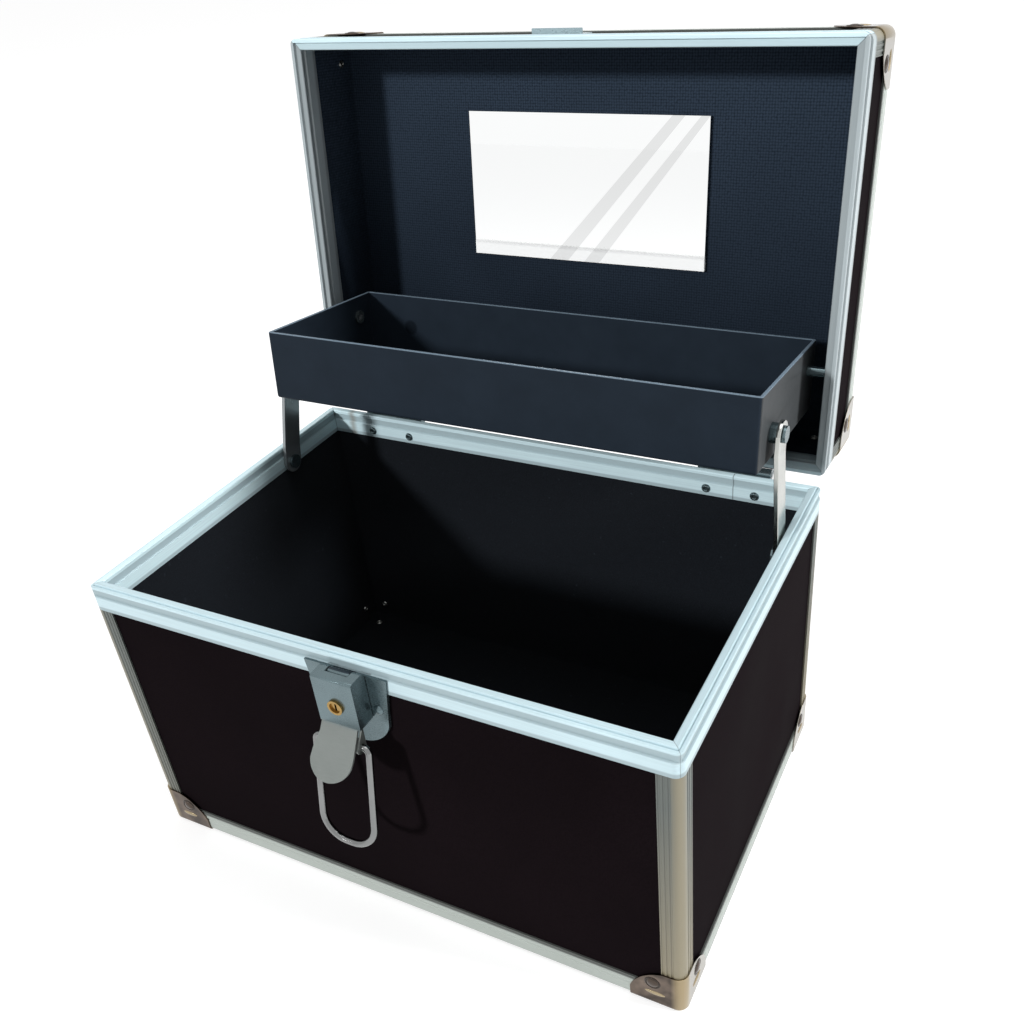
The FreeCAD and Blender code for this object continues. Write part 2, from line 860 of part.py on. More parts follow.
def lid_catch():
    """Plate on the closed lid's front board, with a lip at its lower edge that the bail draws on"""
    low = rim_height + catch_above_flange
    high = low + catch_height
    lip_high = low + catch_lip_thickness
    board = -profile_thickness
    face = board + catch_thickness

    def place(out, up):
        return at(-catch_half_width, -case_depth / 2 - out, lid_rim + up)

    points = [
        place(board, low),
        place(catch_lip_out, low),
        place(catch_lip_out, lip_high),
        place(face, lip_high),
        place(face, high),
        place(board, high),
    ]
    return opened(polygon(points).extrude(X_AXIS * 2 * catch_half_width))


# Carrying handle


handle_axis = at(0, 0, lid_face + handle_pivot_height)


def handle():
    """Round grip on two legs, hanging plumb from the lid's top as the lid stands open"""
    half = handle_span / 2
    corner = handle_corner_radius
    bend = corner * round_share

    def place(x, along):
        return handle_axis + at(x, along, 0)

    def leg(sign):
        elbow = place(sign * half, handle_length - corner)
        grip_end = place(sign * (half - corner), handle_length)
        middle = place(sign * (half - bend), handle_length - bend)
        return [Part.makeLine(place(sign * half, 0), elbow), Part.Arc(elbow, middle, grip_end).toShape()]

    grip = Part.makeLine(place(corner - half, handle_length), place(half - corner, handle_length))
    path = Part.Wire(Part.__sortEdges__(leg(-1) + [grip] + leg(1)))
    bow = round_wire(path, handle_radius)
    for sign in (-1, 1):
        eye_low = place(sign * half - handle_eye_width / 2, 0)
        bow = bow.fuse(rod(handle_eye_radius, eye_low, eye_low + X_AXIS * handle_eye_width))
    reach = X_AXIS * handle_span
    bore = rod(handle_pin_radius + running_clearance, handle_axis - reach, handle_axis + reach)
    hang = open_angle - quarter_turn
    return opened(turned(one_solid(bow.cut(bore)), handle_axis, X_AXIS, hang))


def handle_bracket():
    """Plate with two ears and a cross pin, under the right end of the handle"""
    middle = handle_span / 2
    plate = block(
        at(middle - bracket_plate_width / 2, -bracket_plate_depth / 2, lid_face),
        at(middle + bracket_plate_width / 2, bracket_plate_depth / 2, lid_face + bracket_thickness),
    )
    ear_inner = handle_eye_width / 2 + side_clearance
    ear_outer = ear_inner + bracket_thickness
    radius = bracket_ear_radius
    for start in (-ear_outer, ear_inner):
        foot = at(middle + start, -radius, lid_face)
        crown = handle_axis + at(middle + start, 0, 0)
        steps = [
            crown - Y_AXIS * radius,
            (crown + Z_AXIS * radius, crown + Y_AXIS * radius),
            foot + Y_AXIS * 2 * radius,
            foot,
        ]
        plate = plate.fuse(outline(foot, steps).extrude(X_AXIS * bracket_thickness))
    pin_start = handle_axis + X_AXIS * (middle - ear_outer)
    plate = plate.fuse(rod(handle_pin_radius, pin_start, pin_start + X_AXIS * 2 * ear_outer))
    return opened(one_solid(plate))


# The whole case


def tub(height, crown_shares):
    """Pieces of an open box with its rim upwards, by kind and then by place"""
    return {
        "panel": walls(height),
        "rim": rims(height, crown_shares),
        "cap": caps(),
        "floor": floor_board(),
        "lining": lining(height),
        "corner_profiles": corner_profiles(height),
        "edge_profiles": edge_profiles(),
    }


def body_nodes():
    pieces = tub(body_height, body_crown_shares)
    nodes = {
        "base_panel": one_solid(pieces["floor"].fuse(base_field())),
        "case_lining": pieces["lining"],
        "corner_profiles": pieces["corner_profiles"],
        "base_profiles": pieces["edge_profiles"],
    }
    for kind in ("panel", "rim", "cap"):
        for place, shape in pieces[kind].items():
            nodes[f"{place}_{kind}"] = shape
    return nodes


def lid_nodes():
    """The lid is such a box turned over, so its front is the box's back"""

    def laid_over(shape):
        over = turned(shape, ORIGIN, X_AXIS, half_turn)
        return opened(moved(over, at(0, 0, lid_rim + lid_height)))

    pieces = tub(lid_height, lid_crown_shares)
    nodes = {
        "lid_top_panel": laid_over(pieces["floor"]),
        "lid_lining": laid_over(pieces["lining"]),
        "lid_corner_profiles": laid_over(pieces["corner_profiles"]),
        "lid_top_profiles": laid_over(pieces["edge_profiles"]),
    }
    swapped = {"front": "back", "back": "front"}
    for kind in ("panel", "rim", "cap"):
        for place, shape in pieces[kind].items():
            words = [swapped.get(word, word) for word in place.split("_")]
            nodes["_".join(["lid"] + words + [kind])] = laid_over(shape)
    return nodes


def hinge_nodes():
    lower = hinge_leaf((0, 2), (1,), -1)
    upper = opened(hinge_leaf((1,), (0, 2), 1))
    pin = hinge_rod(hinge_pin_radius, -leaf_width / 2, leaf_width / 2)
    nodes = {"hinge_pins": Part.makeCompound(list(pair(pin).values()))}
    for side, shape in pair(lower).items():
        nodes[f"{side}_hinge_lower_leaf"] = shape
    for side, shape in pair(upper).items():
        nodes[f"{side}_hinge_upper_leaf"] = shape
    return nodes


def linkage_nodes():
    right_arm = arm()
    return {
        "tray": tray(),
        "right_arm": right_arm,
        "left_arm": mirrored(right_arm, X_AXIS),
        "arm_studs": left_and_right(arm_stud()),
        "tray_studs": left_and_right(tray_stud()),
        "lid_studs": left_and_right(lid_stud()),
        "mirror": mirror_plate(),
    }


def latch_nodes():
    return {
        "latch_base": latch_base(),
        "latch_pin": latch_pin(),
        "latch_lever": latch_lever(),
        "lock_cylinder": lock_cylinder(),
        "latch_bail": latch_bail(),
        "lid_catch": lid_catch(),
    }


def handle_nodes():
    right_bracket = handle_bracket()
    return {
        "handle": handle(),
        "right_handle_bracket": right_bracket,
        "left_handle_bracket": mirrored(right_bracket, X_AXIS),
    }


os.makedirs("parts", exist_ok=True)
for make_nodes in (body_nodes, lid_nodes, hinge_nodes, linkage_nodes, latch_nodes, handle_nodes):
    for name, shape in make_nodes().items():
        shape.exportStep(f"parts/{name}.step")
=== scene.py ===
"""Looks of a makeup case: dark boards in aluminium profiles, a lined lid with a mirror, a lifting tray."""

import json
import math

import bmesh
import bpy
from bpy.props import FloatProperty, FloatVectorProperty, IntProperty, PointerProperty
from mathutils import Matrix, Vector


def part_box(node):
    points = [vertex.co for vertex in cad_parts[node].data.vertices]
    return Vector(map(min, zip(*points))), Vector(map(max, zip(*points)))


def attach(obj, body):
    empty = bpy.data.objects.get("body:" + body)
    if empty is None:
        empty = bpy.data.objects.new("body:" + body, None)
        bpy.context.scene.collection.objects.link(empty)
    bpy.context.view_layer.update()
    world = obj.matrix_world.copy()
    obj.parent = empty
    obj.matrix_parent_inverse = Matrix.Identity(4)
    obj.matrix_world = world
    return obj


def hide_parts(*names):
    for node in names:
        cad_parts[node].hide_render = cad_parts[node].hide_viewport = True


bl_info = {
    "name": "Makeup case",
    "version": (1, 0, 0),
    "blender": (4, 5, 0),
    "location": "3D View > Sidebar > Makeup case",
    "description": "Finishes, linings, rivets and a studio stage for the makeup case",
    "category": "Object",
}

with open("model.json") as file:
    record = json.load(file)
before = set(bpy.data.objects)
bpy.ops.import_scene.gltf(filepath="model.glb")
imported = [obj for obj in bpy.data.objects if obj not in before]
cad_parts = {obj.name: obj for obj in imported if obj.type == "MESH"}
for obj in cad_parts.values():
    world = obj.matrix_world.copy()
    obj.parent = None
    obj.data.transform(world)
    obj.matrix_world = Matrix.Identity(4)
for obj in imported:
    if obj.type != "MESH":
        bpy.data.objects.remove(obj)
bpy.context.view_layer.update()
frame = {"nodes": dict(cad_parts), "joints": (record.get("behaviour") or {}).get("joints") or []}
NODES = frame["nodes"]
JOINTS = {joint["name"]: joint for joint in frame["joints"]}

MM = 0.001
HINGE = Vector(JOINTS["lid_hinge"]["pos_m"])
OPEN_ANGLE = math.radians(JOINTS["lid_hinge"]["range_deg"][1])
OPENED = Matrix.Translation(HINGE) @ Matrix.Rotation(-OPEN_ANGLE, 4, "X") @ Matrix.Translation(-HINGE)
CLOSED = OPENED.inverted()
STAYS = Matrix.Identity(4)
MITRE_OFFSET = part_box("right_rim")[1].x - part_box("back_rim")[1].y
TRAY_TILT = math.radians(7.05)

BODY_BOARDS = ("front_panel", "back_panel", "left_panel", "right_panel", "base_panel")
LID_BOARDS = ("lid_front_panel", "lid_back_panel", "lid_left_panel", "lid_right_panel", "lid_top_panel")
CORNERS = ("front_left", "front_right", "back_left", "back_right")

# Places that the finishes and the painted light and shade follow; a pair is where a change begins and where
# it ends

MITRE_SEAM = 0.14 * MM
BUTT_SEAM = 0.22 * MM
BUTT_SEAM_AT = 99.0 * MM
# Where a brownish mark lies across the back rim, and its half width
MARK_AT = -122.8 * MM
MARK_WIDTH = 1.6 * MM
RIM_GROOVE = 9.0 * MM
# Half widths of the bands of painted shade on the rims and the edge profiles
RIM_BAND = 1.9 * MM
LEG_BAND = 2.2 * MM
FOOT_BAND = 0.9 * MM
# Heights where the painted reflection at the corner feet fades out, and widths of the painted corner
# highlight
FOOT_REFLECTION = (20.0 * MM, 120.0 * MM)
CORNER_HIGHLIGHT = (1.5 * MM, 5.0 * MM)
# Widths of the painted highlight along a cap's corner edge and of the painted light on its sides
CAP_HIGHLIGHT = (2.5 * MM, 6.5 * MM)
CAP_SIDE = (1.4 * MM, 0.9 * MM)
STUD_END = (0.7 * MM, 0.5 * MM)
# Radii where the painted glint on a stud's end fades out
STUD_GLINT = (1.1 * MM, 1.7 * MM)
# Where the painted shade at the back of the latch's lug lies
LUG_WIDTH = 5.4 * MM
LUG_FOOT = (141.3 * MM, 141.7 * MM)
LUG_BACK = (-97.3 * MM, -96.9 * MM)
TAB_TOP = (121.8 * MM, 123.2 * MM)
# Shift and waver of the painted light across the lid's cloth
CLOTH_LIGHT_SHIFT = 20.0 * MM
CLOTH_LIGHT_WAVER = 50.0 * MM
TRAY_MARK = Vector((-97.6, 122.4, 189.0)) * MM
TRAY_MARK_RADIUS = 4.6 * MM
# Depth of the painted highlight along the tray's top edge, and of the painted light on its right end
TRAY_EDGE = (0.35 * MM, 0.1 * MM)
TRAY_END = (0.5 * MM, 0.2 * MM)
GLASS_CLOUD = (8.0 * MM, 5.2 * MM)
GLASS_BLUR = 0.1 * MM
GLASS_BANDS = (((45.7, -19.8), (52.0, -9.5)), ((59.7, -0.4), (64.0, 8.0)))

# Lamps and camera

KEY_PLACE = (-0.9, -1.75, 1.02)
FILL_PLACE = (1.9, 0.35, 0.9)
TOP_PLACE = (0.2, 0.1, 2.2)
LAMPS_FACE = Vector((0, 0, 0.16))
CAMERA_PLACE = (0.231211, -0.335728, 0.409058)
CAMERA_TURN = (56.109, 4.8005, 26.7353)
CAMERA_LENS = 37.368
CAMERA_SENSOR = 36
CAMERA_SHIFT = (-0.02272, 0.03586)
CAMERA_NEAR = 0.01

# Outlines of turned heads, as shares of a radius and a height

DOME = ((0, 1), (0.34, 0.95), (0.62, 0.78), (0.84, 0.48), (0.96, 0.2), (1, 0))
COLLAR = ((0, 0.1), (0.74, 0.1), (0.8, 0.8), (0.87, 1), (0.94, 0.75), (1, 0))
ROLLED = ((0, 0.15), (0.3, 0.18), (0.38, 0.75), (0.52, 1), (0.7, 0.96), (0.88, 0.6), (1, 0))
COLLAR_SHARE = 1.32
HEAD_SINK = 0.3 * MM

# Tolerances, and starts of lines that end on a face

WELD_GAP = 0.001 * MM
SAME_PLACE = 0.0005 * MM
LINING_GAP = 0.04 * MM
SOFT_ANGLE = math.radians(40)
OFF_CAP = 40.0 * MM
OFF_HINGE = 50.0 * MM
OFF_FRONT = -0.2
OFF_TOP = 0.4


# Settings


def length(name, default, description):
    return FloatProperty(
        name=name, description=description, default=default * MM, min=0, unit="LENGTH", precision=4
    )


def pair(name, default, description):
    return FloatVectorProperty(
        name=name, description=description, default=[value * MM for value in default], size=2, min=0,
        unit="LENGTH", precision=4,
    )


def amount(name, default, description, **kind):
    return FloatProperty(name=name, description=description, default=default, min=0, **kind)


def colour(name, default, description):
    return FloatVectorProperty(
        name=name, description=description, default=default, size=3, min=0, max=1, subtype="COLOR"
    )


class CaseSizes(bpy.types.PropertyGroup):
    """Sizes of the small pieces"""

    rivet_radius: length("Rivet radius", 2.75, "Radius of the caps' domed rivets")
    rivet_height: length("Rivet height", 0.8, "Height of a cap's rivet")
    rivet_from_corner: length("Rivet from corner", 14.4, "From a case corner to the cap's rivets")
    collar_height: length("Collar height", 0.3, "Height of the ring round a cap's rivet")
    tail_radius: length("Rivet tail radius", 1.9, "Radius of the rolled rivet ends inside")
    tail_height: length("Rivet tail height", 0.8, "Height of a rolled rivet end")
    hinge_rivet_radius: length("Hinge rivet radius", 2.3, "Radius of the hinge rivets")
    hinge_rivet_height: length("Hinge rivet height", 0.8, "Height of a hinge rivet")
    hinge_tail_height: length("Hinge rivet tail", 0.9, "Height of a hinge rivet's rolled end")
    hinge_rivet_pitch: length("Hinge rivet pitch", 24.0, "Between the two rivets of a hinge leaf")
    hinge_rivet_drop: length("Hinge rivet drop", 8.4, "From the hinge's axis to its rivets")
    rib_length: length("Cap rib", 9.0, "Length of the rib pressed into a cap")
    rib_width: length("Cap rib width", 2.4, "Width of the rib pressed into a cap")
    rib_height: length("Cap rib height", 0.45, "Height of a cap's rib")
    rib_from_rivet: length("Rib from rivet", 6.4, "From a cap's rivet across to its rib")
    rib_shift: length("Rib shift", 1.0, "From a cap's rivet along to its rib's middle")
    latch_rivet: pair("Latch rivet", (2.4, 1.3), "Radius and height of the latch's rivets")
    latch_rivet_at: pair("Latch rivets at", (13.0, 127.0), "Out from the latch's middle, up from the floor")
    catch_rivet: pair("Catch rivet", (1.8, 0.8), "Radius and height of the catch's rivets")
    catch_rivet_at: pair("Catch rivets at", (8.0, 4.5), "Out from the catch's middle, down from its edge")
    bracket_rivet: pair("Bracket rivet", (2.2, 1.0), "Radius and height of the brackets' rivets")
    bracket_rivet_out: length("Bracket rivet out", 8.6, "From a bracket's middle to its rivets")
    rivet_steps: IntProperty(name="Rivet steps", description="Facets round a rivet", default=24, min=8)
    lining_thickness: length("Lining thickness", 0.6, "Thickness of the felt and the lid's cloth")
    lining_corner: length("Lining corner", 2.0, "Inner radius of a lining's corners")
    edge: length("Edge rounding", 0.25, "Rounding of sheet and plate edges")
    glass_edge: length("Glass edge", 0.3, "Ground edge of the mirror")


class CaseColours(bpy.types.PropertyGroup):
    """Colours of the finishes"""

    board: colour("Boards", (0.0068, 0.0046, 0.0056), "Laminate on the boards")
    felt: colour("Felt", (0.0068, 0.0083, 0.0107), "Felt inside the case")
    cloth: colour("Lid cloth", (0.0138, 0.0205, 0.0310), "Woven cloth inside the lid")
    tray: colour("Tray", (0.0135, 0.0195, 0.0280), "Satin coat on the tray")
    # Painted highlight along the tray's top edge
    tray_edge: colour("Tray edge", (0.15, 0.20, 0.25), "Rubbed top edge of the tray")
    rim: colour("Rims", (0.64, 0.82, 0.88), "Anodised rim extrusions")
    # Painted shade: the lid's side rims are the same aluminium as the other rims
    lid_rim: colour("Lid side rims", (0.385, 0.44, 0.46), "Greyer rims up the lid's sides")
    # Painted shade: the corner profiles are the same anodised aluminium as the rims, drawn much darker
    corner: colour("Corner profiles", (0.102, 0.116, 0.107), "Profiles up the corners")
    # Painted reflection: warm tint at the foot of the right corner profiles, also the tint of their painted
    # corner highlight
    warm_reflection: colour("Corner feet", (0.205, 0.18, 0.12), "Yellowed feet of the corner profiles")
    base: colour("Edge profiles", (0.40, 0.44, 0.41), "Profiles round the base and the lid's top")
    # Painted reflection: the caps' plating drawn brownish
    chrome: colour("Caps", (0.108, 0.082, 0.065), "Plated corner caps")
    # Painted light on the caps' side faces
    cap_side_light: colour("Cap sides", (0.34, 0.32, 0.28), "Side faces of the caps")
    # Painted highlight along the caps' corner edges and on their ribs
    cap_edge: colour("Cap edges", (0.36, 0.29, 0.18), "Corner edges of the caps, worn bright")
    steel: colour("Steel", (0.135, 0.185, 0.20), "Latch, hinges and brackets")
    # A paler colour for the latch's finger tab
    tab: colour("Finger tab", (0.22, 0.24, 0.23), "Tab of the latch, worn by fingers")
    wire: colour("Wire bail", (0.23, 0.235, 0.235), "Plated wire of the bail")
    arm: colour("Right arm", (0.49, 0.50, 0.475), "Plated right arm")
    # Painted shade: the left arm has the same plating as the right
    shadowed: colour("Left arm", (0.30, 0.32, 0.33), "Left arm, its plating tarnished")
    # Painted glint on the studs' ends inside the tray
    stud_glint: colour("Stud ends", (0.75, 0.76, 0.76), "Ends of the studs inside the tray")
    seam: colour("Seams", (0.05, 0.055, 0.06), "Dark lines where lengths of rim meet")
    # Colour of a brownish mark across the back rim
    brownish: colour("Rust", (0.22, 0.18, 0.13), "Old mark on the back rim")
    # Painted shade at the back of the latch's lug
    gap_shade: colour("Oil", (0.018, 0.028, 0.038), "Old oil at the back of the latch's lug")
    # Painted light on the tray's right end
    lit_tray_end: colour("Tray end", (0.056, 0.059, 0.060), "Right end of the tray, dulled by hands")
    brass: colour("Brass", (0.36, 0.23, 0.075), "Key lock")
    glass: colour("Mirror", (0.96, 0.97, 0.97), "Silvered mirror")
    handle: colour("Handle", (0.012, 0.012, 0.013), "Carrying handle")


class CaseStage(bpy.types.PropertyGroup):
    """Floor and light"""

    floor_size: amount("Floor", 24.0, "Width of the floor", unit="LENGTH")
    floor: colour("Floor colour", (0.62, 0.62, 0.62), "Plain pale floor")
    key_strength: amount("Key light", 2.7, "Strength of the light from the front left")
    key_spread: amount("Key spread", math.radians(6), "How wide the key light looks", subtype="ANGLE")
    glint_strength: amount("Glint light", 0.12, "Strength of the highlights on rivets and edges")
    fill_power: amount("Fill light", 44.0, "Soft light from the right", unit="POWER")
    fill_size: amount("Fill size", 0.4, "Width of the fill light", unit="LENGTH")
    top_power: amount("Top light", 12.0, "Soft light from above", unit="POWER")
    top_size: amount("Top size", 1.4, "Width of the top light", unit="LENGTH")
    room: amount("Room light", 0.30, "Even light from all round", subtype="FACTOR")
    floor_glow: amount("Floor glow", 0.56, "Lifts the floor to white in what is seen", subtype="FACTOR")


# Node materials


class Finish:
    """A node material, drawn in the closed case's own directions"""

    def __init__(self, name, roughness, metallic=0.0, on_lid=False):
        self.material = bpy.data.materials.new(name)
        self.material.use_nodes = True
        self.nodes = self.material.node_tree.nodes
        self.links = self.material.node_tree.links
        self.nodes.clear()
        output = self.nodes.new("ShaderNodeOutputMaterial")
        self.shader = self.nodes.new("ShaderNodeBsdfPrincipled")
        self.set("Roughness", roughness)
        self.set("Metallic", metallic)
        self.join(self.shader.outputs["BSDF"], output.inputs["Surface"])
        self.here = self.nodes.new("ShaderNodeTexCoord").outputs["Object"]
        if on_lid:
            closing = self.nodes.new("ShaderNodeMapping")
            closing.inputs["Rotation"].default_value = (OPEN_ANGLE, 0, 0)
            closing.inputs["Location"].default_value = CLOSED.to_translation()
            self.join(self.here, closing.inputs["Vector"])
            self.here = closing.outputs["Vector"]

    def join(self, source, socket):
        self.links.new(source, socket)

    def set(self, socket, value):
        """A number or a colour is set on the shader; anything else is joined to it"""
        if isinstance(value, bpy.types.NodeSocket):
            self.join(value, self.shader.inputs[socket])
        elif isinstance(value, (int, float)):
            self.shader.inputs[socket].default_value = value
        else:
            self.shader.inputs[socket].default_value = (*value, 1)

    def joined(self, socket):
        """What is joined to the shader so far"""
        return self.shader.inputs[socket].links[0].from_socket

    def stain(self, share, tint):
        """Lays a colour over the base colour, for painted light, painted shade and marks alike"""
        self.set("Base Color", self.mixed(share, self.joined("Base Color"), tint))

    def stretched(self, scale):
        """Places stretched by a factor for each direction"""
        mapping = self.nodes.new("ShaderNodeMapping")
        mapping.inputs["Scale"].default_value = scale
        self.join(self.here, mapping.inputs["Vector"])
        return mapping.outputs["Vector"]

    def noise(self, scale, detail=2.0, rough=0.5):
        """Noise with that many waves to the metre, one number or one for each direction"""
        node = self.nodes.new("ShaderNodeTexNoise")
        node.inputs["Detail"].default_value = detail
        node.inputs["Roughness"].default_value = rough
        if isinstance(scale, tuple):
            node.inputs["Scale"].default_value = 1
            self.join(self.stretched(scale), node.inputs["Vector"])
        else:
            node.inputs["Scale"].default_value = scale
            self.join(self.here, node.inputs["Vector"])
        return node.outputs["Fac"]

    def pebbles(self, scale, randomness):
        """Small cells, so many to the metre"""
        node = self.nodes.new("ShaderNodeTexVoronoi")
        node.inputs["Scale"].default_value = scale
        node.inputs["Randomness"].default_value = randomness
        self.join(self.here, node.inputs["Vector"])
        return node.outputs["Distance"]

    def sum(self, operation, *values):
        """One step of arithmetic on numbers and sockets"""
        node = self.nodes.new("ShaderNodeMath")
        node.operation = operation
        for socket, value in zip(node.inputs, values):
            if isinstance(value, bpy.types.NodeSocket):
                self.join(value, socket)
            else:
                socket.default_value = value
        return node.outputs["Value"]

    def size(self, value):
        return self.sum("ABSOLUTE", value)

    def ranged(self, value, low, high, from_low=0.3, from_high=0.7):
        """Low where the value is from_low, high where it is from_high"""
        node = self.nodes.new("ShaderNodeMapRange")
        node.inputs["From Min"].default_value = from_low
        node.inputs["From Max"].default_value = from_high
        node.inputs["To Min"].default_value = low
        node.inputs["To Max"].default_value = high
        self.join(value, node.inputs["Value"])
        return node.outputs["Result"]

    def line(self, offset, half_width, blur=0.5):
        """1 on a line where the offset is nought, 0 beside it"""
        return self.ranged(self.size(offset), 1, 0, half_width * (1 - blur), half_width * (1 + blur))

    def spot(self, place, radius):
        """1 near a place, 0 further from it than a radius"""
        node = self.nodes.new("ShaderNodeVectorMath")
        node.operation = "DISTANCE"
        node.inputs[1].default_value = place
        self.join(self.here, node.inputs[0])
        return self.ranged(node.outputs["Value"], 1, 0, radius * 0.7, radius)

    def axes(self):
        node = self.nodes.new("ShaderNodeSeparateXYZ")
        self.join(self.here, node.inputs["Vector"])
        return node.outputs

    def mixed(self, share, first, second):
        """The first colour where the share is 0, the second where it is 1"""
        node = self.nodes.new("ShaderNodeMix")
        node.data_type = "RGBA"
        self.join(share, node.inputs["Factor"])
        for socket, value in ((node.inputs["A"], first), (node.inputs["B"], second)):
            if isinstance(value, bpy.types.NodeSocket):
                self.join(value, socket)
            else:
                socket.default_value = (*value, 1)
        return node.outputs["Result"]

    def between(self, value, base, low, high):
        """A colour between two shades of a base"""
        return self.mixed(self.ranged(value, 0, 1), shade(base, low), shade(base, high))

    def from_corner(self, tip):
        """How far in from the corner edges of the case a place lies"""
        x, y = self.axes()[:2]
        return self.sum("SUBTRACT", tip.x + tip.y, self.sum("ADD", self.size(x), self.size(y)))

    def relief(self, height, strength, depth):
        """Small bumps, on top of those already there"""
        node = self.nodes.new("ShaderNodeBump")
        node.inputs["Strength"].default_value = strength
        node.inputs["Distance"].default_value = depth
        self.join(height, node.inputs["Height"])
        before = self.shader.inputs["Normal"].links
        if before:
            self.join(before[0].from_socket, node.inputs["Normal"])
        self.join(node.outputs["Normal"], self.shader.inputs["Normal"])


def shade(base, factor):
    return tuple(min(1.0, channel * factor) for channel in base)


def laminate(name, on_lid):
    """Dark laminate with a fine pebble, worn paler in soft patches"""
    finish = Finish(name, 0.5, on_lid=on_lid)
    base = bpy.context.scene.case_colours.board
    patches = finish.noise(14, detail=3)
    grain = finish.pebbles(1500, randomness=0.9)
    tint = finish.between(patches, base, 0.8, 1.25)
    finish.set("Base Color", finish.mixed(finish.ranged(grain, 0.0, 0.5, 0.1, 0.7), tint, shade(base, 0.5)))
    finish.set("Roughness", finish.ranged(patches, 0.5, 0.64))
    finish.set("IOR", 1.03)
    finish.relief(grain, strength=0.18, depth=0.1 * MM)
    return finish.material


def aluminium(*settings):
    return aluminium_finish(*settings).material


def aluminium_finish(name, base, along, on_lid, mitred=False, shaded_bands=(), joint_at=None):
    """Satin anodised: fine streaks along the profile, bands of painted shade, dark lines where lengths meet
    """
    colours = bpy.context.scene.case_colours
    finish = Finish(name, 0.4, 0.15, on_lid)
    streaks = finish.noise(tuple(24 if axis == along else 1700 for axis in "XYZ"), detail=3, rough=0.6)
    patches = finish.noise(26, detail=3)
    tint = finish.between(streaks, base, 0.9, 1.05)
    tint = finish.mixed(finish.ranged(patches, 0, 0.35), tint, shade(base, 0.82))
    x, y, z = finish.axes()
    # Painted shade in bands: each band darkens the colour by its factor, in a groove or along an edge
    for height, half_width, factor in shaded_bands:
        band = finish.line(finish.sum("SUBTRACT", z, height), half_width, 0.2)
        tint = finish.mixed(band, tint, shade(base, factor))
    seams = []
    if mitred:
        across = finish.sum("SUBTRACT", finish.size(x), finish.size(y))
        seams.append(finish.line(finish.sum("SUBTRACT", across, MITRE_OFFSET), MITRE_SEAM))
    if joint_at is not None:
        seams.append(finish.line(finish.sum("SUBTRACT", x, joint_at), BUTT_SEAM))
        # A brownish mark across the back rim
        stain = finish.line(finish.sum("SUBTRACT", x, MARK_AT), MARK_WIDTH, 0.8)
        tint = finish.mixed(finish.sum("MULTIPLY", stain, 0.55), tint, colours.brownish)
    for seam in seams:
        tint = finish.mixed(finish.sum("MULTIPLY", seam, 0.6), tint, colours.seam)
        finish.relief(finish.sum("SUBTRACT", 1.0, seam), strength=0.6, depth=0.2 * MM)
    finish.set("Base Color", tint)
    finish.set("Roughness", finish.ranged(streaks, 0.33, 0.46))
    finish.relief(streaks, strength=0.06, depth=0.04 * MM)
    return finish


def corner_aluminium(name, colours, on_lid):
    """Corner profiles, with a painted highlight round the corner edge, and a painted warm reflection at the
    foot of the right ones
    """
    finish = aluminium_finish(name, colours.corner, "Z", on_lid)
    if not on_lid:
        # Painted reflection: a warm tint at the foot of the right corner profiles
        axes = finish.axes()
        on_right = finish.ranged(axes["X"], 0.2, 1, -MM, MM)
        low_down = finish.ranged(axes["Z"], 1, 0, *FOOT_REFLECTION)
        finish.stain(finish.sum("MULTIPLY", low_down, on_right), colours.warm_reflection)
    # Painted highlight round the corner edge
    edge_highlight = finish.ranged(finish.from_corner(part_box("corner_profiles")[1]), 1, 0, *CORNER_HIGHLIGHT)
    finish.stain(edge_highlight, shade(colours.warm_reflection, 1.25))
    return finish.material


def plated_finish(name, base, smooth, rough, on_lid=False, along=None, metallic=0.8):
    """Plated sheet: cloudy shine, fine scratches and a little dulling"""
    finish = Finish(name, 0.2, metallic, on_lid)
    clouds = finish.noise(70, detail=4)
    if along:
        lines = finish.noise(tuple(60 if axis == along else 2600 for axis in "XYZ"), detail=2)
    else:
        lines = finish.noise((300, 900, 2400), detail=3, rough=0.7)
    finish.set("Base Color", finish.between(clouds, base, 0.86, 1.06))
    wear = finish.sum("MULTIPLY", finish.sum("ADD", lines, clouds), 0.5)
    finish.set("Roughness", finish.ranged(wear, smooth, rough, 0.35, 0.65))
    finish.relief(lines, strength=0.02, depth=0.03 * MM)
    return finish


def plated(*settings, **more):
    return plated_finish(*settings, **more).material


def stud_plating(name, colours):
    """Plating of the studs, with a painted glint in the middle of their ends inside the tray"""
    finish = plated_finish(name, colours.steel, 0.14, 0.3)
    x, y, z = finish.axes()
    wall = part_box("tray")[1].x
    middle = sum(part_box("lid_studs"), Vector()) / 2
    up, along = finish.sum("SUBTRACT", z, middle.z), finish.sum("SUBTRACT", y, middle.y)
    from_axis = finish.sum("MULTIPLY_ADD", up, up, finish.sum("MULTIPLY", along, along))
    # Painted glint in the middle of the studs' ends inside the tray
    bright = finish.ranged(finish.sum("SQRT", from_axis), 1, 0.12, *STUD_GLINT)
    inside = finish.ranged(finish.size(x), 1, 0, *(wall - inset for inset in STUD_END))
    finish.stain(finish.sum("MULTIPLY", bright, inside), colours.stud_glint)
    return finish.material


def lug_plating(name, colours):
    """Plating of the latch base, with painted shade at the back of its rolled lug"""
    finish = plated_finish(name, colours.steel, 0.2, 0.38)
    x, y, z = finish.axes()
    # Painted shade at the back of the lug, in the gap to the rim
    gap_shadow = finish.line(x, LUG_WIDTH, 0.04)
    for axis, ends in ((z, LUG_FOOT), (y, LUG_BACK)):
        gap_shadow = finish.sum("MULTIPLY", gap_shadow, finish.ranged(axis, 0, 1, *ends))
    finish.stain(gap_shadow, colours.gap_shade)
    return finish.material


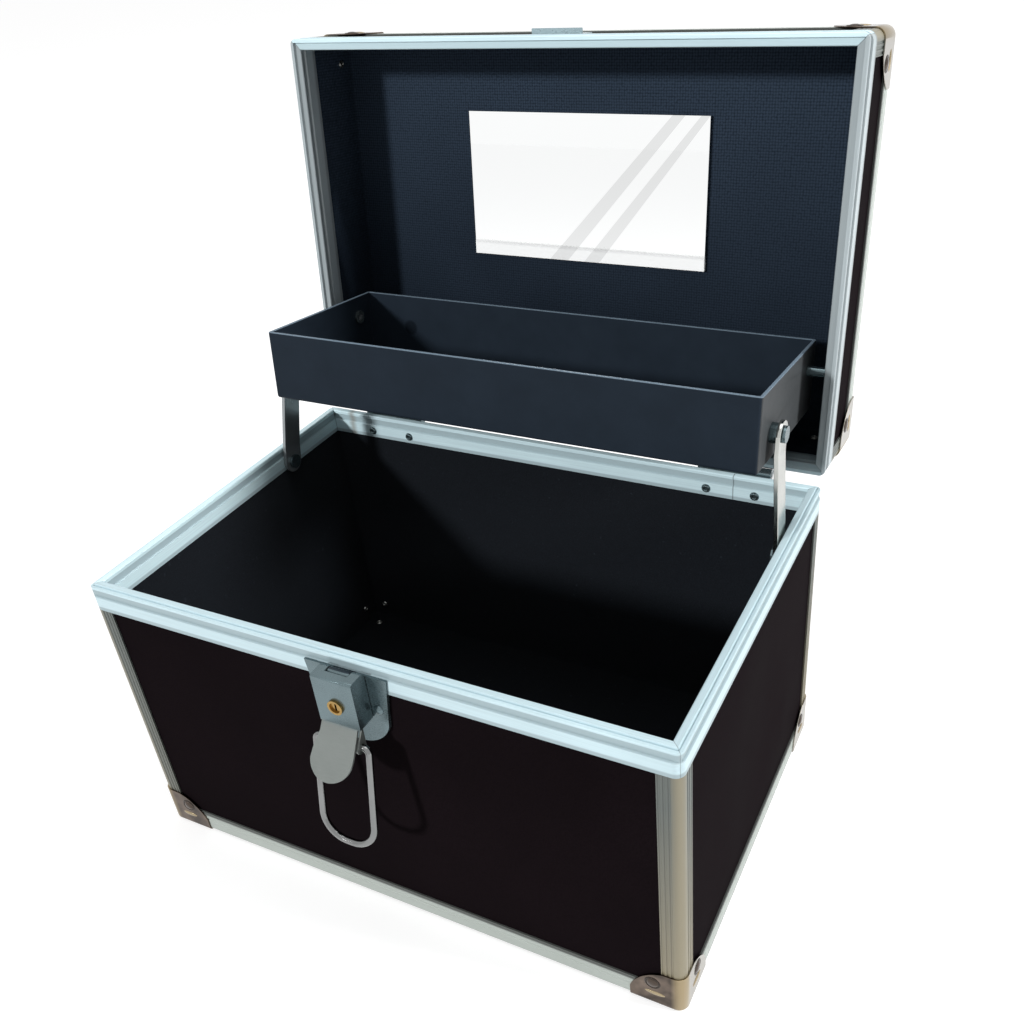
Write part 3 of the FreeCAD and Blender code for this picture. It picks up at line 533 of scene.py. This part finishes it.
def lever_plating(name, colours):
    """Plating of the lever, paler and rougher on the finger tab"""
    finish = plated_finish(name, colours.steel, 0.18, 0.36)
    # A paler colour on the finger tab
    tab = finish.ranged(finish.axes()["Z"], 1, 0, *TAB_TOP)
    finish.stain(tab, colours.tab)
    finish.set("Roughness", finish.sum("MULTIPLY_ADD", tab, 0.22, finish.joined("Roughness")))
    return finish.material


def cap_plating(name, colours, on_lid):
    """Plating of a cap, brownish with patches of painted reflection, with painted light on its side faces and
    a painted highlight along its corner edge
    """
    finish = plated_finish(name, colours.chrome, 0.08, 0.2, on_lid, metallic=1.0)
    # Painted reflection: patches between a darker and a lighter brownish tone
    stain = finish.ranged(finish.noise(75, detail=3), 0, 1, 0.4, 0.6)
    finish.set("Base Color", finish.mixed(stain, shade(colours.chrome, 0.5), shade(colours.chrome, 1.5)))
    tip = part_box("back_right_cap")[1]
    # Painted light: the side faces drawn lighter
    side = finish.ranged(finish.size(finish.axes()["X"]), 0, 1, *(tip.x - inset for inset in CAP_SIDE))
    finish.stain(side, colours.cap_side_light)
    # Painted highlight along the corner edge
    finish.stain(finish.ranged(finish.from_corner(tip), 1, 0, *CAP_HIGHLIGHT), colours.cap_edge)
    return finish.material


def felt(name):
    """Black felt: short matted fibres with paler lint"""
    finish = Finish(name, 0.95)
    base = bpy.context.scene.case_colours.felt
    fibres = finish.noise((2300, 3100, 2700), detail=5, rough=0.7)
    lint = finish.noise(420, detail=2)
    tint = finish.between(fibres, base, 0.55, 1.6)
    finish.set("Base Color", finish.mixed(finish.ranged(lint, 0, 1, 0.68, 0.82), tint, shade(base, 3.2)))
    finish.set("Specular IOR Level", 0.12)
    finish.set("Sheen Weight", 0.05)
    finish.relief(fibres, strength=0.6, depth=0.3 * MM)
    return finish.material


def woven(name):
    """Close woven cloth with a raised dot at each crossing"""
    finish = Finish(name, 0.8, on_lid=True)
    base = bpy.context.scene.case_colours.cloth
    dots = finish.pebbles(760, randomness=0.22)
    yarn = finish.noise((1800, 2600, 2200), detail=3, rough=0.6)
    patches = finish.noise(22, detail=2)
    low, high = closed_box("lid_lining")
    # Painted light: the cloth lighter towards the lid's front, which is its top when open, and darker by
    # painted shade towards the hinge, wavering in patches
    painted_light = finish.sum("MULTIPLY_ADD", patches, CLOTH_LIGHT_WAVER, finish.axes()["Y"])
    painted_light = finish.ranged(painted_light, 1, 0, low.y + CLOTH_LIGHT_SHIFT, high.y + CLOTH_LIGHT_SHIFT)
    tint = finish.mixed(painted_light, shade(base, 0.42), shade(base, 2.3))
    tint = finish.mixed(finish.ranged(dots, 0, 0.85, 0.25, 0.75), tint, shade(base, 0.42))
    finish.set("Base Color", finish.mixed(finish.ranged(yarn, 0, 0.5, 0.5, 0.8), tint, shade(base, 2.0)))
    finish.set("IOR", 1.08)
    finish.relief(finish.sum("SUBTRACT", 1.0, dots), strength=0.75, depth=0.35 * MM)
    finish.relief(yarn, strength=0.25, depth=0.1 * MM)
    return finish.material


def satin_coat(name):
    """Dark satin coat with a fine orange peel, faint dust, a dark round spot, a painted highlight along the
    top edge and painted light on the right end
    """
    finish = Finish(name, 0.4)
    colours = bpy.context.scene.case_colours
    base = colours.tray
    peel = finish.noise(1500, detail=2)
    dust = finish.noise(60, detail=4, rough=0.65)
    x, y, z = finish.axes()
    rise, run = math.cos(TRAY_TILT), math.sin(TRAY_TILT)
    top = max(vertex.co.y * run + vertex.co.z * rise for vertex in NODES["tray"].data.vertices)
    height = finish.sum("MULTIPLY_ADD", y, run, finish.sum("MULTIPLY", z, rise))
    # Painted highlight along the top edge
    edge_highlight = finish.ranged(height, 0, 1, *(top - drop for drop in TRAY_EDGE))
    coat = finish.mixed(finish.ranged(dust, 0, 1, 0.35, 0.75), base, shade(base, 1.2))
    # A dark round spot on the back wall
    mark = finish.spot(TRAY_MARK, TRAY_MARK_RADIUS)
    coat = finish.mixed(finish.sum("MULTIPLY", mark, 0.75), coat, shade(base, 0.3))
    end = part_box("tray")[1].x
    # Painted light on the right end
    end_light = finish.ranged(x, 0, 0.8, *(end - inset for inset in TRAY_END))
    coat = finish.mixed(end_light, coat, colours.lit_tray_end)
    finish.set("Base Color", finish.mixed(edge_highlight, coat, colours.tray_edge))
    finish.set("Roughness", finish.ranged(dust, 0.36, 0.46))
    finish.set("Specular IOR Level", 0.04)
    finish.relief(peel, strength=0.1, depth=0.06 * MM)
    return finish.material


def silvered_glass(name):
    """Mirror with two slanting bands of painted reflection, greyer than the silver, faint smears and a
    clouded lower edge
    """
    finish = Finish(name, 0.03, 1.0, on_lid=True)
    base = bpy.context.scene.case_colours.glass
    low, high = closed_box("mirror")
    x, y = finish.axes()[:2]

    def right_of(front_x, back_x):
        """1 to the right of a line that crosses the glass from front to back"""
        slope = (back_x - front_x) * MM / (high.y - low.y)
        across = finish.sum("MULTIPLY_ADD", y, -slope, x)
        edge = front_x * MM - slope * low.y
        return finish.ranged(across, 0, 1, edge - GLASS_BLUR, edge + GLASS_BLUR)

    wide, narrow = (finish.sum("SUBTRACT", right_of(*left), right_of(*right)) for left, right in GLASS_BANDS)
    smears = finish.noise((90, 30, 60), detail=3)
    clouded = finish.ranged(y, 0, 1, *(high.y - drop for drop in GLASS_CLOUD))
    # Painted reflection: two slanting greyer bands
    finish.set("Base Color", finish.mixed(finish.sum("ADD", wide, narrow), base, shade(base, 0.82)))
    finish.set("Metallic", finish.ranged(clouded, 1, 0, 0, 1))
    roughness = finish.ranged(smears, 0.015, 0.05, 0.5, 0.8)
    finish.set("Roughness", finish.sum("MULTIPLY_ADD", clouded, 0.5, roughness))
    return finish.material


def turned_brass(name):
    """Brass with rings left by the lathe"""
    finish = Finish(name, 0.22, 1.0)
    base = bpy.context.scene.case_colours.brass
    clouds = finish.noise(500, detail=3)
    finish.set("Base Color", finish.between(clouds, base, 0.8, 1.1))
    finish.set("Roughness", finish.ranged(clouds, 0.16, 0.32))
    finish.relief(finish.noise((900, 200, 900), detail=2), strength=0.1, depth=0.05 * MM)
    return finish.material


def grained_plastic(name):
    """Black moulded plastic with a leather grain"""
    finish = Finish(name, 0.45, on_lid=True)
    base = bpy.context.scene.case_colours.handle
    grain = finish.pebbles(900, randomness=1.0)
    rub = finish.noise(45, detail=3)
    finish.set("Base Color", finish.between(rub, base, 0.8, 1.5))
    finish.set("Roughness", finish.ranged(rub, 0.38, 0.55))
    finish.relief(grain, strength=0.3, depth=0.15 * MM)
    return finish.material


# Helpers for pieces


def closed_box(node):
    """Corners of a piece of the lid, measured with the lid shut"""
    points = [CLOSED @ vertex.co for vertex in NODES[node].data.vertices]
    low = Vector(min(point[axis] for point in points) for axis in range(3))
    high = Vector(max(point[axis] for point in points) for axis in range(3))
    return low, high


def dress(material, *nodes):
    for node in nodes:
        for slot in NODES[node].material_slots:
            slot.material = material


def soften(width, *nodes):
    """Rounds the sharp edges of plates"""
    for node in nodes:
        weld = NODES[node].modifiers.new("Joined faces", "WELD")
        weld.merge_threshold = WELD_GAP
        bevel = NODES[node].modifiers.new("Rounded edges", "BEVEL")
        bevel.width = width
        bevel.segments = 2
        bevel.limit_method = "ANGLE"
        bevel.angle_limit = SOFT_ANGLE


def seat(node, start, way, turn=STAYS):
    """Where a line meets a CAD piece"""
    found, place = NODES[node].ray_cast(turn @ Vector(start), turn.to_3x3() @ Vector(way))[:2]
    if not found:
        raise RuntimeError(f"nothing of {node} lies that way from {tuple(start)}")
    return place


def add_head(bm, place, way, radius, height, shares, stretch=Matrix.Identity(4)):
    """A turned head on a face: its outline is shares of the radius and the height"""
    old = set(bm.verts)
    points = [(across * radius, up * height) for across, up in shares]
    points += [(radius, -HEAD_SINK), (0, -HEAD_SINK)]
    ring = [bm.verts.new((across, 0, up)) for across, up in points]
    edges = [bm.edges.new(pair) for pair in zip(ring, ring[1:])]
    bmesh.ops.spin(
        bm, geom=ring + edges, cent=(0, 0, 0), axis=(0, 0, 1), angle=2 * math.pi,
        steps=bpy.context.scene.case_sizes.rivet_steps, use_merge=True, use_duplicate=False,
    )
    new = [vert for vert in bm.verts if vert not in old]
    facing = Vector((0, 0, 1)).rotation_difference(Vector(way)).to_matrix().to_4x4()
    bmesh.ops.transform(bm, matrix=Matrix.Translation(place) @ facing @ stretch, verts=new)


def add_rivet(bm, node, start, out, radius, height, turn=STAYS, shares=DOME):
    """A head on the face that a line meets on its way in"""
    add_head(bm, seat(node, start, -out, turn), turn.to_3x3() @ out, radius, height, shares)


def make_piece(bm, name, body, material, crease=35):
    """Turns a finished bmesh into a piece that rides on a body"""
    bmesh.ops.remove_doubles(bm, verts=bm.verts, dist=SAME_PLACE)
    bmesh.ops.recalc_face_normals(bm, faces=bm.faces)
    mesh = bpy.data.meshes.new(name)
    bm.to_mesh(mesh)
    bm.free()
    mesh.shade_smooth()
    mesh.set_sharp_from_angle(angle=math.radians(crease))
    mesh.materials.append(material)
    piece = bpy.data.objects.new(name, mesh)
    bpy.context.scene.collection.objects.link(piece)
    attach(piece, body)
    return piece


def lining_box(name, low, high, turn, body, material, node):
    """Thin lining that turns the corners of the boards in a small radius"""
    sizes = bpy.context.scene.case_sizes
    gap = Vector((1, 1, 1)) * LINING_GAP
    low, high = low + gap, high - gap
    bm = bmesh.new()
    bmesh.ops.create_cube(bm, size=1)
    bmesh.ops.scale(bm, vec=high - low, verts=bm.verts)
    bmesh.ops.translate(bm, vec=(low + high) / 2, verts=bm.verts)
    mouth = high.z if turn is STAYS else low.z
    lids = [face for face in bm.faces if abs(face.calc_center_median().z - mouth) < MM]
    bmesh.ops.delete(bm, geom=lids, context="FACES_ONLY")
    turns = [edge for edge in bm.edges if len(edge.link_faces) == 2]
    bmesh.ops.bevel(
        bm, geom=turns, offset=sizes.lining_corner + sizes.lining_thickness, offset_type="OFFSET",
        affect="EDGES", segments=4, profile=0.5, material=-1,
    )
    bmesh.ops.transform(bm, matrix=turn, verts=bm.verts)
    piece = make_piece(bm, name, body, material, crease=60)
    wall = piece.modifiers.new("Thickness", "SOLIDIFY")
    wall.thickness = sizes.lining_thickness
    wall.offset = -1
    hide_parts(node)
    return piece


class CaseOperator:
    """What the operators share"""

    bl_options = {"REGISTER", "UNDO"}


class CASE_OT_boards(CaseOperator, bpy.types.Operator):
    """Give the boards of the case and the lid their laminate"""

    bl_idname = "makeup_case.boards"
    bl_label = "Boards"

    def execute(self, context):
        dress(laminate("board_laminate", False), *BODY_BOARDS)
        dress(laminate("lid_board_laminate", True), *LID_BOARDS)
        return {"FINISHED"}


class CASE_OT_frame(CaseOperator, bpy.types.Operator):
    """Give the rims and profiles their drawn aluminium"""

    bl_idname = "makeup_case.frame"
    bl_label = "Rims and profiles"

    def execute(self, context):
        colours = context.scene.case_colours
        for on_lid, start, edge, joint in (
            (False, "", "base_profiles", BUTT_SEAM_AT),
            (True, "lid_", "lid_top_profiles", None),
        ):
            flange, up = self.flange(start + "front_rim", on_lid)
            # Painted shade in the rim's groove and along its flange edge
            shaded_bands = ((flange + up * RIM_GROOVE, RIM_BAND, 0.6), (flange, RIM_BAND, 0.6))
            # Painted light and shade: all rims are one aluminium, drawn darker at the front of the case,
            # lighter at its back and much darker at the back of the lid
            front = colours.rim if on_lid else shade(colours.rim, 0.84)
            rim = aluminium(start + "front_rim_aluminium", front, "X", on_lid, True, shaded_bands)
            dress(rim, start + "front_rim")
            back = shade(colours.rim, 0.4 if on_lid else 1.1)
            rim = aluminium(start + "back_rim_aluminium", back, "X", on_lid, True, shaded_bands, joint)
            dress(rim, start + "back_rim")
            # Painted light and shade: the case's left rim drawn lighter and its right rim darker; the lid's
            # side rims take the darker, greyer colour of painted shade
            for side, factor in (("left", 1.12), ("right", 0.78)):
                base = colours.lid_rim if on_lid else shade(colours.rim, factor)
                rim = aluminium(f"{start}{side}_rim_aluminium", base, "Y", on_lid, True, shaded_bands)
                dress(rim, f"{start}{side}_rim")
            dress(corner_aluminium(start + "corner_aluminium", colours, on_lid), start + "corner_profiles")
            leg, foot = self.legs(edge, on_lid)
            # Painted shade along the edge profile's free leg, and a painted dark line at its corner
            shaded_bands = ((leg, LEG_BAND, 0.2), (foot, FOOT_BAND, 0.4))
            dress(aluminium(start + "edge_aluminium", colours.base, "X", on_lid, True, shaded_bands), edge)
        return {"FINISHED"}

    def flange(self, node, on_lid):
        """Height of a rim's flange edge, and which way the rim lies from it"""
        return (closed_box(node)[1].z, -1) if on_lid else (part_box(node)[0].z, 1)

    def legs(self, node, on_lid):
        """Heights of an edge profile's free edge and of its corner"""
        if on_lid:
            low, high = closed_box(node)
            return low.z, high.z
        low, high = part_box(node)
        return high.z, low.z


class CASE_OT_caps(CaseOperator, bpy.types.Operator):
    """Plate the corner caps, and add their rivets, pressed ribs and rivet ends"""

    bl_idname = "makeup_case.caps"
    bl_label = "Corner caps"

    def execute(self, context):
        sizes = context.scene.case_sizes
        colours = context.scene.case_colours
        for body, start, turn in (("case", "", STAYS), ("lid", "lid_", OPENED)):
            on_lid = body == "lid"
            caps = [f"{start}{corner}_cap" for corner in CORNERS]
            dress(cap_plating(start + "cap_plating", colours, on_lid), *caps)
            soften(sizes.edge, *caps)
            heads, collars, ribs, ends = (bmesh.new() for kind in range(4))
            for corner in CORNERS:
                self.rivet_cap(heads, collars, ribs, ends, start, corner, sizes, turn)
            # Painted shade: the rolled ends are drawn darker inside the lid than in the case; the heads and
            # collars are drawn darker than the cap plating as painted shade, and the ribs take the painted
            # highlight colour
            inner = shade(colours.arm, 0.35 if on_lid else 0.75)
            for bm, piece, slot, base, smooth, rough in (
                (heads, "cap_rivets", "cap_chrome", shade(colours.chrome, 0.7), 0.1, 0.2),
                (collars, "cap_collars", "cap_chrome", shade(colours.chrome, 0.4), 0.25, 0.4),
                (ribs, "cap_ribs", "cap_chrome", colours.cap_edge, 0.12, 0.25),
                (ends, "cap_rivet_ends", "latch_steel", inner, 0.2, 0.35),
            ):
                finish = plated(f"{start}{piece}_plating", base, smooth, rough, on_lid)
                make_piece(bm, start + piece, body, finish)
        return {"FINISHED"}

    def rivet_cap(self, heads, collars, ribs, ends, start, corner, sizes, turn):
        """Rivets, ribs and rivet ends of one cap; the underside of the case stays flush"""
        node = f"{start}{corner}_cap"
        low, high = closed_box(node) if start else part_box(node)
        side = Vector((1 if "right" in corner else -1, 1 if "back" in corner else -1, 1 if start else -1))
        tip = Vector(high[axis] if side[axis] > 0 else low[axis] for axis in range(3))
        middle = Vector((0, 0, HINGE.z if start else HINGE.z / 2))
        lining = "lid_lining" if start else "case_lining"
        for across, along, up in ((0, 1, 2), (1, 0, 2), (2, 0, 1)):
            spot = Vector(tip)
            spot[along] -= side[along] * sizes.rivet_from_corner
            spot[up] -= side[up] * sizes.rivet_from_corner
            out, run = Vector((0, 0, 0)), Vector((0, 0, 0))
            out[across] = side[across]
            run[along] = 1
            if across < 2 or start:
                above, radius = spot + out * OFF_CAP, sizes.rivet_radius
                add_rivet(heads, node, above, out, radius, sizes.rivet_height, turn)
                radius *= COLLAR_SHARE
                add_rivet(collars, node, above, out, radius, sizes.collar_height, turn, COLLAR)
                rib = Vector(spot)
                rib[up] += side[up] * sizes.rib_from_rivet
                rib[along] += side[along] * sizes.rib_shift
                place = seat(node, rib + out * OFF_CAP, -out, turn)
                self.press_rib(ribs, place, turn.to_3x3() @ out, turn.to_3x3() @ run, sizes)
            if across < 2 or not start:
                spot[across] = middle[across]
                add_rivet(ends, lining, spot, -out, sizes.tail_radius, sizes.tail_height, turn, ROLLED)

    def press_rib(self, bm, place, facing, along, sizes):
        """A long low dome that lies along the cap's edge"""
        turned = Vector((0, 0, 1)).rotation_difference(facing).to_matrix()
        local = turned.inverted() @ along
        angle = math.atan2(local.y, local.x)
        longer = Matrix.Diagonal((sizes.rib_length / sizes.rib_width, 1, 1, 1))
        stretch = Matrix.Rotation(angle, 4, "Z") @ longer
        add_head(bm, place, facing, sizes.rib_width / 2, sizes.rib_height, DOME, stretch)


class CASE_OT_linings(CaseOperator, bpy.types.Operator):
    """Line the case with felt and the lid with woven cloth"""

    bl_idname = "makeup_case.linings"
    bl_label = "Linings"

    def execute(self, context):
        low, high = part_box("case_lining")
        cloth = felt("black_felt")
        piece = lining_box("felt_lining", low, high, STAYS, "case", cloth, "case_lining")
        self.declare(piece, high - low, BODY_BOARDS)
        low, high = closed_box("lid_lining")
        cloth = woven("dotted_cloth")
        piece = lining_box("cloth_lining", low, high, OPENED, "lid", cloth, "lid_lining")
        self.declare(piece, high - low, LID_BOARDS)
        return {"FINISHED"}

    def declare(self, piece, size, boards):
        """Declares nothing; the sheet was cut as a cross, a floor with four walls, and glued to the boards"""


class CASE_OT_mirror(CaseOperator, bpy.types.Operator):
    """Silver the mirror and grind its edge"""

    bl_idname = "makeup_case.mirror"
    bl_label = "Mirror"

    def execute(self, context):
        dress(silvered_glass("silvered_glass"), "mirror")
        soften(context.scene.case_sizes.glass_edge, "mirror")
        return {"FINISHED"}


class CASE_OT_tray(CaseOperator, bpy.types.Operator):
    """Coat the tray, and plate the arms and studs that carry it"""

    bl_idname = "makeup_case.tray"
    bl_label = "Tray and arms"

    def execute(self, context):
        colours = context.scene.case_colours
        dress(satin_coat("tray_coat"), "tray")
        dress(plated("right_arm_plating", colours.arm, 0.08, 0.2, along="Z", metallic=1.0), "right_arm")
        # Painted shade: the left arm has the right arm's plating, drawn darker
        dress(plated("left_arm_plating", colours.shadowed, 0.12, 0.28, along="Z", metallic=0.55), "left_arm")
        dress(stud_plating("stud_plating", colours), "tray_studs", "arm_studs", "lid_studs")
        soften(context.scene.case_sizes.edge, "tray", "left_arm", "right_arm")
        return {"FINISHED"}


class CASE_OT_hinges(CaseOperator, bpy.types.Operator):
    """Plate the hinges and rivet their leaves through the rims"""

    bl_idname = "makeup_case.hinges"
    bl_label = "Hinges"

    def execute(self, context):
        sizes = context.scene.case_sizes
        finish = plated("hinge_plating", context.scene.case_colours.steel, 0.16, 0.34)
        leaves = ("left_hinge_lower_leaf", "right_hinge_lower_leaf")
        upper = ("left_hinge_upper_leaf", "right_hinge_upper_leaf")
        dress(finish, "hinge_pins", *leaves, *upper)
        for body, nodes, rim, turn, down in (
            ("case", leaves, "back_rim", STAYS, -1),
            ("lid", upper, "lid_back_rim", OPENED, 1),
        ):
            bm = bmesh.new()
            for node in nodes:
                middle = sum(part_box(node), Vector()).x / 2
                for side in (-1, 1):
                    x = middle + side * sizes.hinge_rivet_pitch / 2
                    z = HINGE.z + down * sizes.hinge_rivet_drop
                    outside, inside = Vector((x, HINGE.y + OFF_HINGE, z)), Vector((x, 0, z))
                    back, radius = Vector((0, 1, 0)), sizes.hinge_rivet_radius
                    add_rivet(bm, node, outside, back, radius, sizes.hinge_rivet_height, turn)
                    add_rivet(bm, rim, inside, -back, radius, sizes.hinge_tail_height, turn, ROLLED)
            name = "hinge_rivets" if body == "case" else "lid_hinge_rivets"
            make_piece(bm, name, body, finish)
        return {"FINISHED"}


class CASE_OT_latch(CaseOperator, bpy.types.Operator):
    """Plate the latch and its catch, and rivet them on"""

    bl_idname = "makeup_case.latch"
    bl_label = "Latch"

    def execute(self, context):
        sizes = context.scene.case_sizes
        colours = context.scene.case_colours
        finish = plated("latch_plating", colours.steel, 0.18, 0.36)
        wire = plated("bail_plating", colours.wire, 0.1, 0.22, metallic=1.0)
        dress(finish, "latch_pin")
        dress(lever_plating("lever_plating", colours), "latch_lever")
        dress(lug_plating("latch_base_plating", colours), "latch_base")
        dress(wire, "latch_bail")
        dress(turned_brass("lock_brass"), "lock_cylinder")
        dress(plated("catch_plating", shade(colours.rim, 0.5), 0.2, 0.38, True, metallic=0.5), "lid_catch")
        soften(sizes.edge, "latch_base", "latch_lever", "lid_catch")
        front = Vector((0, -1, 0))
        bm = bmesh.new()
        for side in (-1, 1):
            out, up = sizes.latch_rivet_at
            add_rivet(bm, "latch_base", Vector((side * out, OFF_FRONT, up)), front, *sizes.latch_rivet)
        make_piece(bm, "latch_rivets", "case", finish)
        bm = bmesh.new()
        top = closed_box("lid_catch")[1].z
        for side in (-1, 1):
            out, drop = sizes.catch_rivet_at
            spot = Vector((side * out, OFF_FRONT, top - drop))
            add_rivet(bm, "lid_catch", spot, front, *sizes.catch_rivet, OPENED)
        make_piece(bm, "catch_rivets", "lid", finish)
        return {"FINISHED"}


class CASE_OT_handle(CaseOperator, bpy.types.Operator):
    """Finish the carrying handle and rivet its brackets to the lid"""

    bl_idname = "makeup_case.handle"
    bl_label = "Handle"

    def execute(self, context):
        sizes = context.scene.case_sizes
        finish = plated("bracket_plating", context.scene.case_colours.steel, 0.16, 0.34, True)
        brackets = ("left_handle_bracket", "right_handle_bracket")
        dress(grained_plastic("handle_plastic"), "handle")
        dress(finish, *brackets)
        soften(sizes.edge, *brackets)
        up = Vector((0, 0, 1))
        bm = bmesh.new()
        for node in brackets:
            low, high = closed_box(node)
            for side in (-1, 1):
                middle = (low + high) / 2
                spot = Vector((middle.x + side * sizes.bracket_rivet_out, middle.y, OFF_TOP))
                add_rivet(bm, node, spot, up, *sizes.bracket_rivet, OPENED)
        make_piece(bm, "bracket_rivets", "lid", finish)
        return {"FINISHED"}


class CASE_OT_stage(CaseOperator, bpy.types.Operator):
    """Set the floor, the lights and the camera"""

    bl_idname = "makeup_case.stage"
    bl_label = "Stage"

    def execute(self, context):
        stage = context.scene.case_stage
        self.lay_floor(context, stage)
        self.light_room(context, stage)
        key = self.hang_lamp(context, "key_light", "SUN", stage.key_strength, KEY_PLACE)
        key.data.angle = stage.key_spread
        key.visible_glossy = False
        glint = self.hang_lamp(context, "glint_light", "SUN", stage.glint_strength, KEY_PLACE)
        glint.data.angle = stage.key_spread
        fill = self.hang_lamp(context, "fill_light", "AREA", stage.fill_power, FILL_PLACE)
        fill.data.size = stage.fill_size
        fill.visible_glossy = False
        top = self.hang_lamp(context, "top_light", "AREA", stage.top_power, TOP_PLACE)
        top.data.size = stage.top_size
        self.place_camera(context)
        context.scene.view_settings.view_transform = "Standard"
        return {"FINISHED"}

    def hang_lamp(self, context, name, kind, strength, place):
        """A lamp that looks at the middle of the case"""
        lamp = bpy.data.lights.new(name, kind)
        lamp.energy = strength
        light = bpy.data.objects.new(name, lamp)
        light.location = place
        light.rotation_euler = (LAMPS_FACE - Vector(place)).to_track_quat("-Z", "Y").to_euler()
        context.scene.collection.objects.link(light)
        return light

    def empty_tree(self, owner, output):
        """Nodes and links with only an output"""
        owner.use_nodes = True
        nodes, links = owner.node_tree.nodes, owner.node_tree.links
        nodes.clear()
        return nodes, links, nodes.new(output)

    def background_share(self, nodes, links):
        """1 for what the camera, a mirror or glass sees, 0 for light that falls on the object"""
        path = nodes.new("ShaderNodeLightPath")
        share = path.outputs["Is Camera Ray"]
        for ray in ("Is Glossy Ray", "Is Transmission Ray"):
            either = nodes.new("ShaderNodeMath")
            either.operation = "MAXIMUM"
            links.new(share, either.inputs[0])
            links.new(path.outputs[ray], either.inputs[1])
            share = either.outputs["Value"]
        return share

    def lay_floor(self, context, stage):
        bm = bmesh.new()
        bmesh.ops.create_grid(bm, x_segments=1, y_segments=1, size=stage.floor_size / 2)
        mesh = bpy.data.meshes.new("floor")
        bm.to_mesh(mesh)
        bm.free()
        material = bpy.data.materials.new("pale_floor")
        nodes, links, output = self.empty_tree(material, "ShaderNodeOutputMaterial")
        matt = nodes.new("ShaderNodeBsdfDiffuse")
        matt.inputs["Color"].default_value = (*stage.floor, 1)
        glow = nodes.new("ShaderNodeEmission")
        lift = nodes.new("ShaderNodeMath")
        lift.operation = "MULTIPLY"
        lift.inputs[1].default_value = stage.floor_glow
        links.new(self.background_share(nodes, links), lift.inputs[0])
        links.new(lift.outputs["Value"], glow.inputs["Strength"])
        both = nodes.new("ShaderNodeAddShader")
        links.new(matt.outputs["BSDF"], both.inputs[0])
        links.new(glow.outputs["Emission"], both.inputs[1])
        links.new(both.outputs["Shader"], output.inputs["Surface"])
        mesh.materials.append(material)
        floor = bpy.data.objects.new("floor", mesh)
        context.scene.collection.objects.link(floor)

    def light_room(self, context, stage):
        world = context.scene.world = bpy.data.worlds.new("white_room")
        nodes, links, output = self.empty_tree(world, "ShaderNodeOutputWorld")
        seen, falling = nodes.new("ShaderNodeBackground"), nodes.new("ShaderNodeBackground")
        for light, strength in ((seen, 1), (falling, stage.room)):
            light.inputs["Color"].default_value = (1, 1, 1, 1)
            light.inputs["Strength"].default_value = strength
        mix = nodes.new("ShaderNodeMixShader")
        links.new(self.background_share(nodes, links), mix.inputs[0])
        links.new(falling.outputs["Background"], mix.inputs[1])
        links.new(seen.outputs["Background"], mix.inputs[2])
        links.new(mix.outputs["Shader"], output.inputs["Surface"])

    def place_camera(self, context):
        lens = bpy.data.cameras.new("camera")
        lens.sensor_width = CAMERA_SENSOR
        lens.lens = CAMERA_LENS
        lens.shift_x, lens.shift_y = CAMERA_SHIFT
        lens.clip_start = CAMERA_NEAR
        camera = bpy.data.objects.new("camera", lens)
        camera.location = CAMERA_PLACE
        camera.rotation_euler = tuple(math.radians(angle) for angle in CAMERA_TURN)
        context.scene.collection.objects.link(camera)
        context.scene.camera = camera


OPERATORS = (
    CASE_OT_stage, CASE_OT_boards, CASE_OT_frame, CASE_OT_caps, CASE_OT_linings, CASE_OT_mirror,
    CASE_OT_tray, CASE_OT_hinges, CASE_OT_latch, CASE_OT_handle,
)


class CASE_PT_panel(bpy.types.Panel):
    """Pieces and settings of the makeup case"""

    bl_label = "Makeup case"
    bl_idname = "CASE_PT_panel"
    bl_space_type = "VIEW_3D"
    bl_region_type = "UI"
    bl_category = "Makeup case"

    def draw(self, context):
        for operator in OPERATORS:
            self.layout.operator(operator.bl_idname)
        for settings in (context.scene.case_sizes, context.scene.case_colours, context.scene.case_stage):
            box = self.layout.box()
            for name in settings.bl_rna.properties.keys():
                if name not in ("rna_type", "name"):
                    box.prop(settings, name)


CLASSES = (CaseSizes, CaseColours, CaseStage, *OPERATORS, CASE_PT_panel)


def register():
    for kind in CLASSES:
        bpy.utils.register_class(kind)
    bpy.types.Scene.case_sizes = PointerProperty(type=CaseSizes)
    bpy.types.Scene.case_colours = PointerProperty(type=CaseColours)
    bpy.types.Scene.case_stage = PointerProperty(type=CaseStage)


def unregister():
    del bpy.types.Scene.case_stage
    del bpy.types.Scene.case_colours
    del bpy.types.Scene.case_sizes
    for kind in reversed(CLASSES):
        bpy.utils.unregister_class(kind)


def main():
    register()
    bpy.ops.makeup_case.stage()
    bpy.ops.makeup_case.boards()
    bpy.ops.makeup_case.frame()
    bpy.ops.makeup_case.caps()
    bpy.ops.makeup_case.linings()
    bpy.ops.makeup_case.mirror()
    bpy.ops.makeup_case.tray()
    bpy.ops.makeup_case.hinges()
    bpy.ops.makeup_case.latch()
    bpy.ops.makeup_case.handle()


if __name__ == "__main__":
    main()
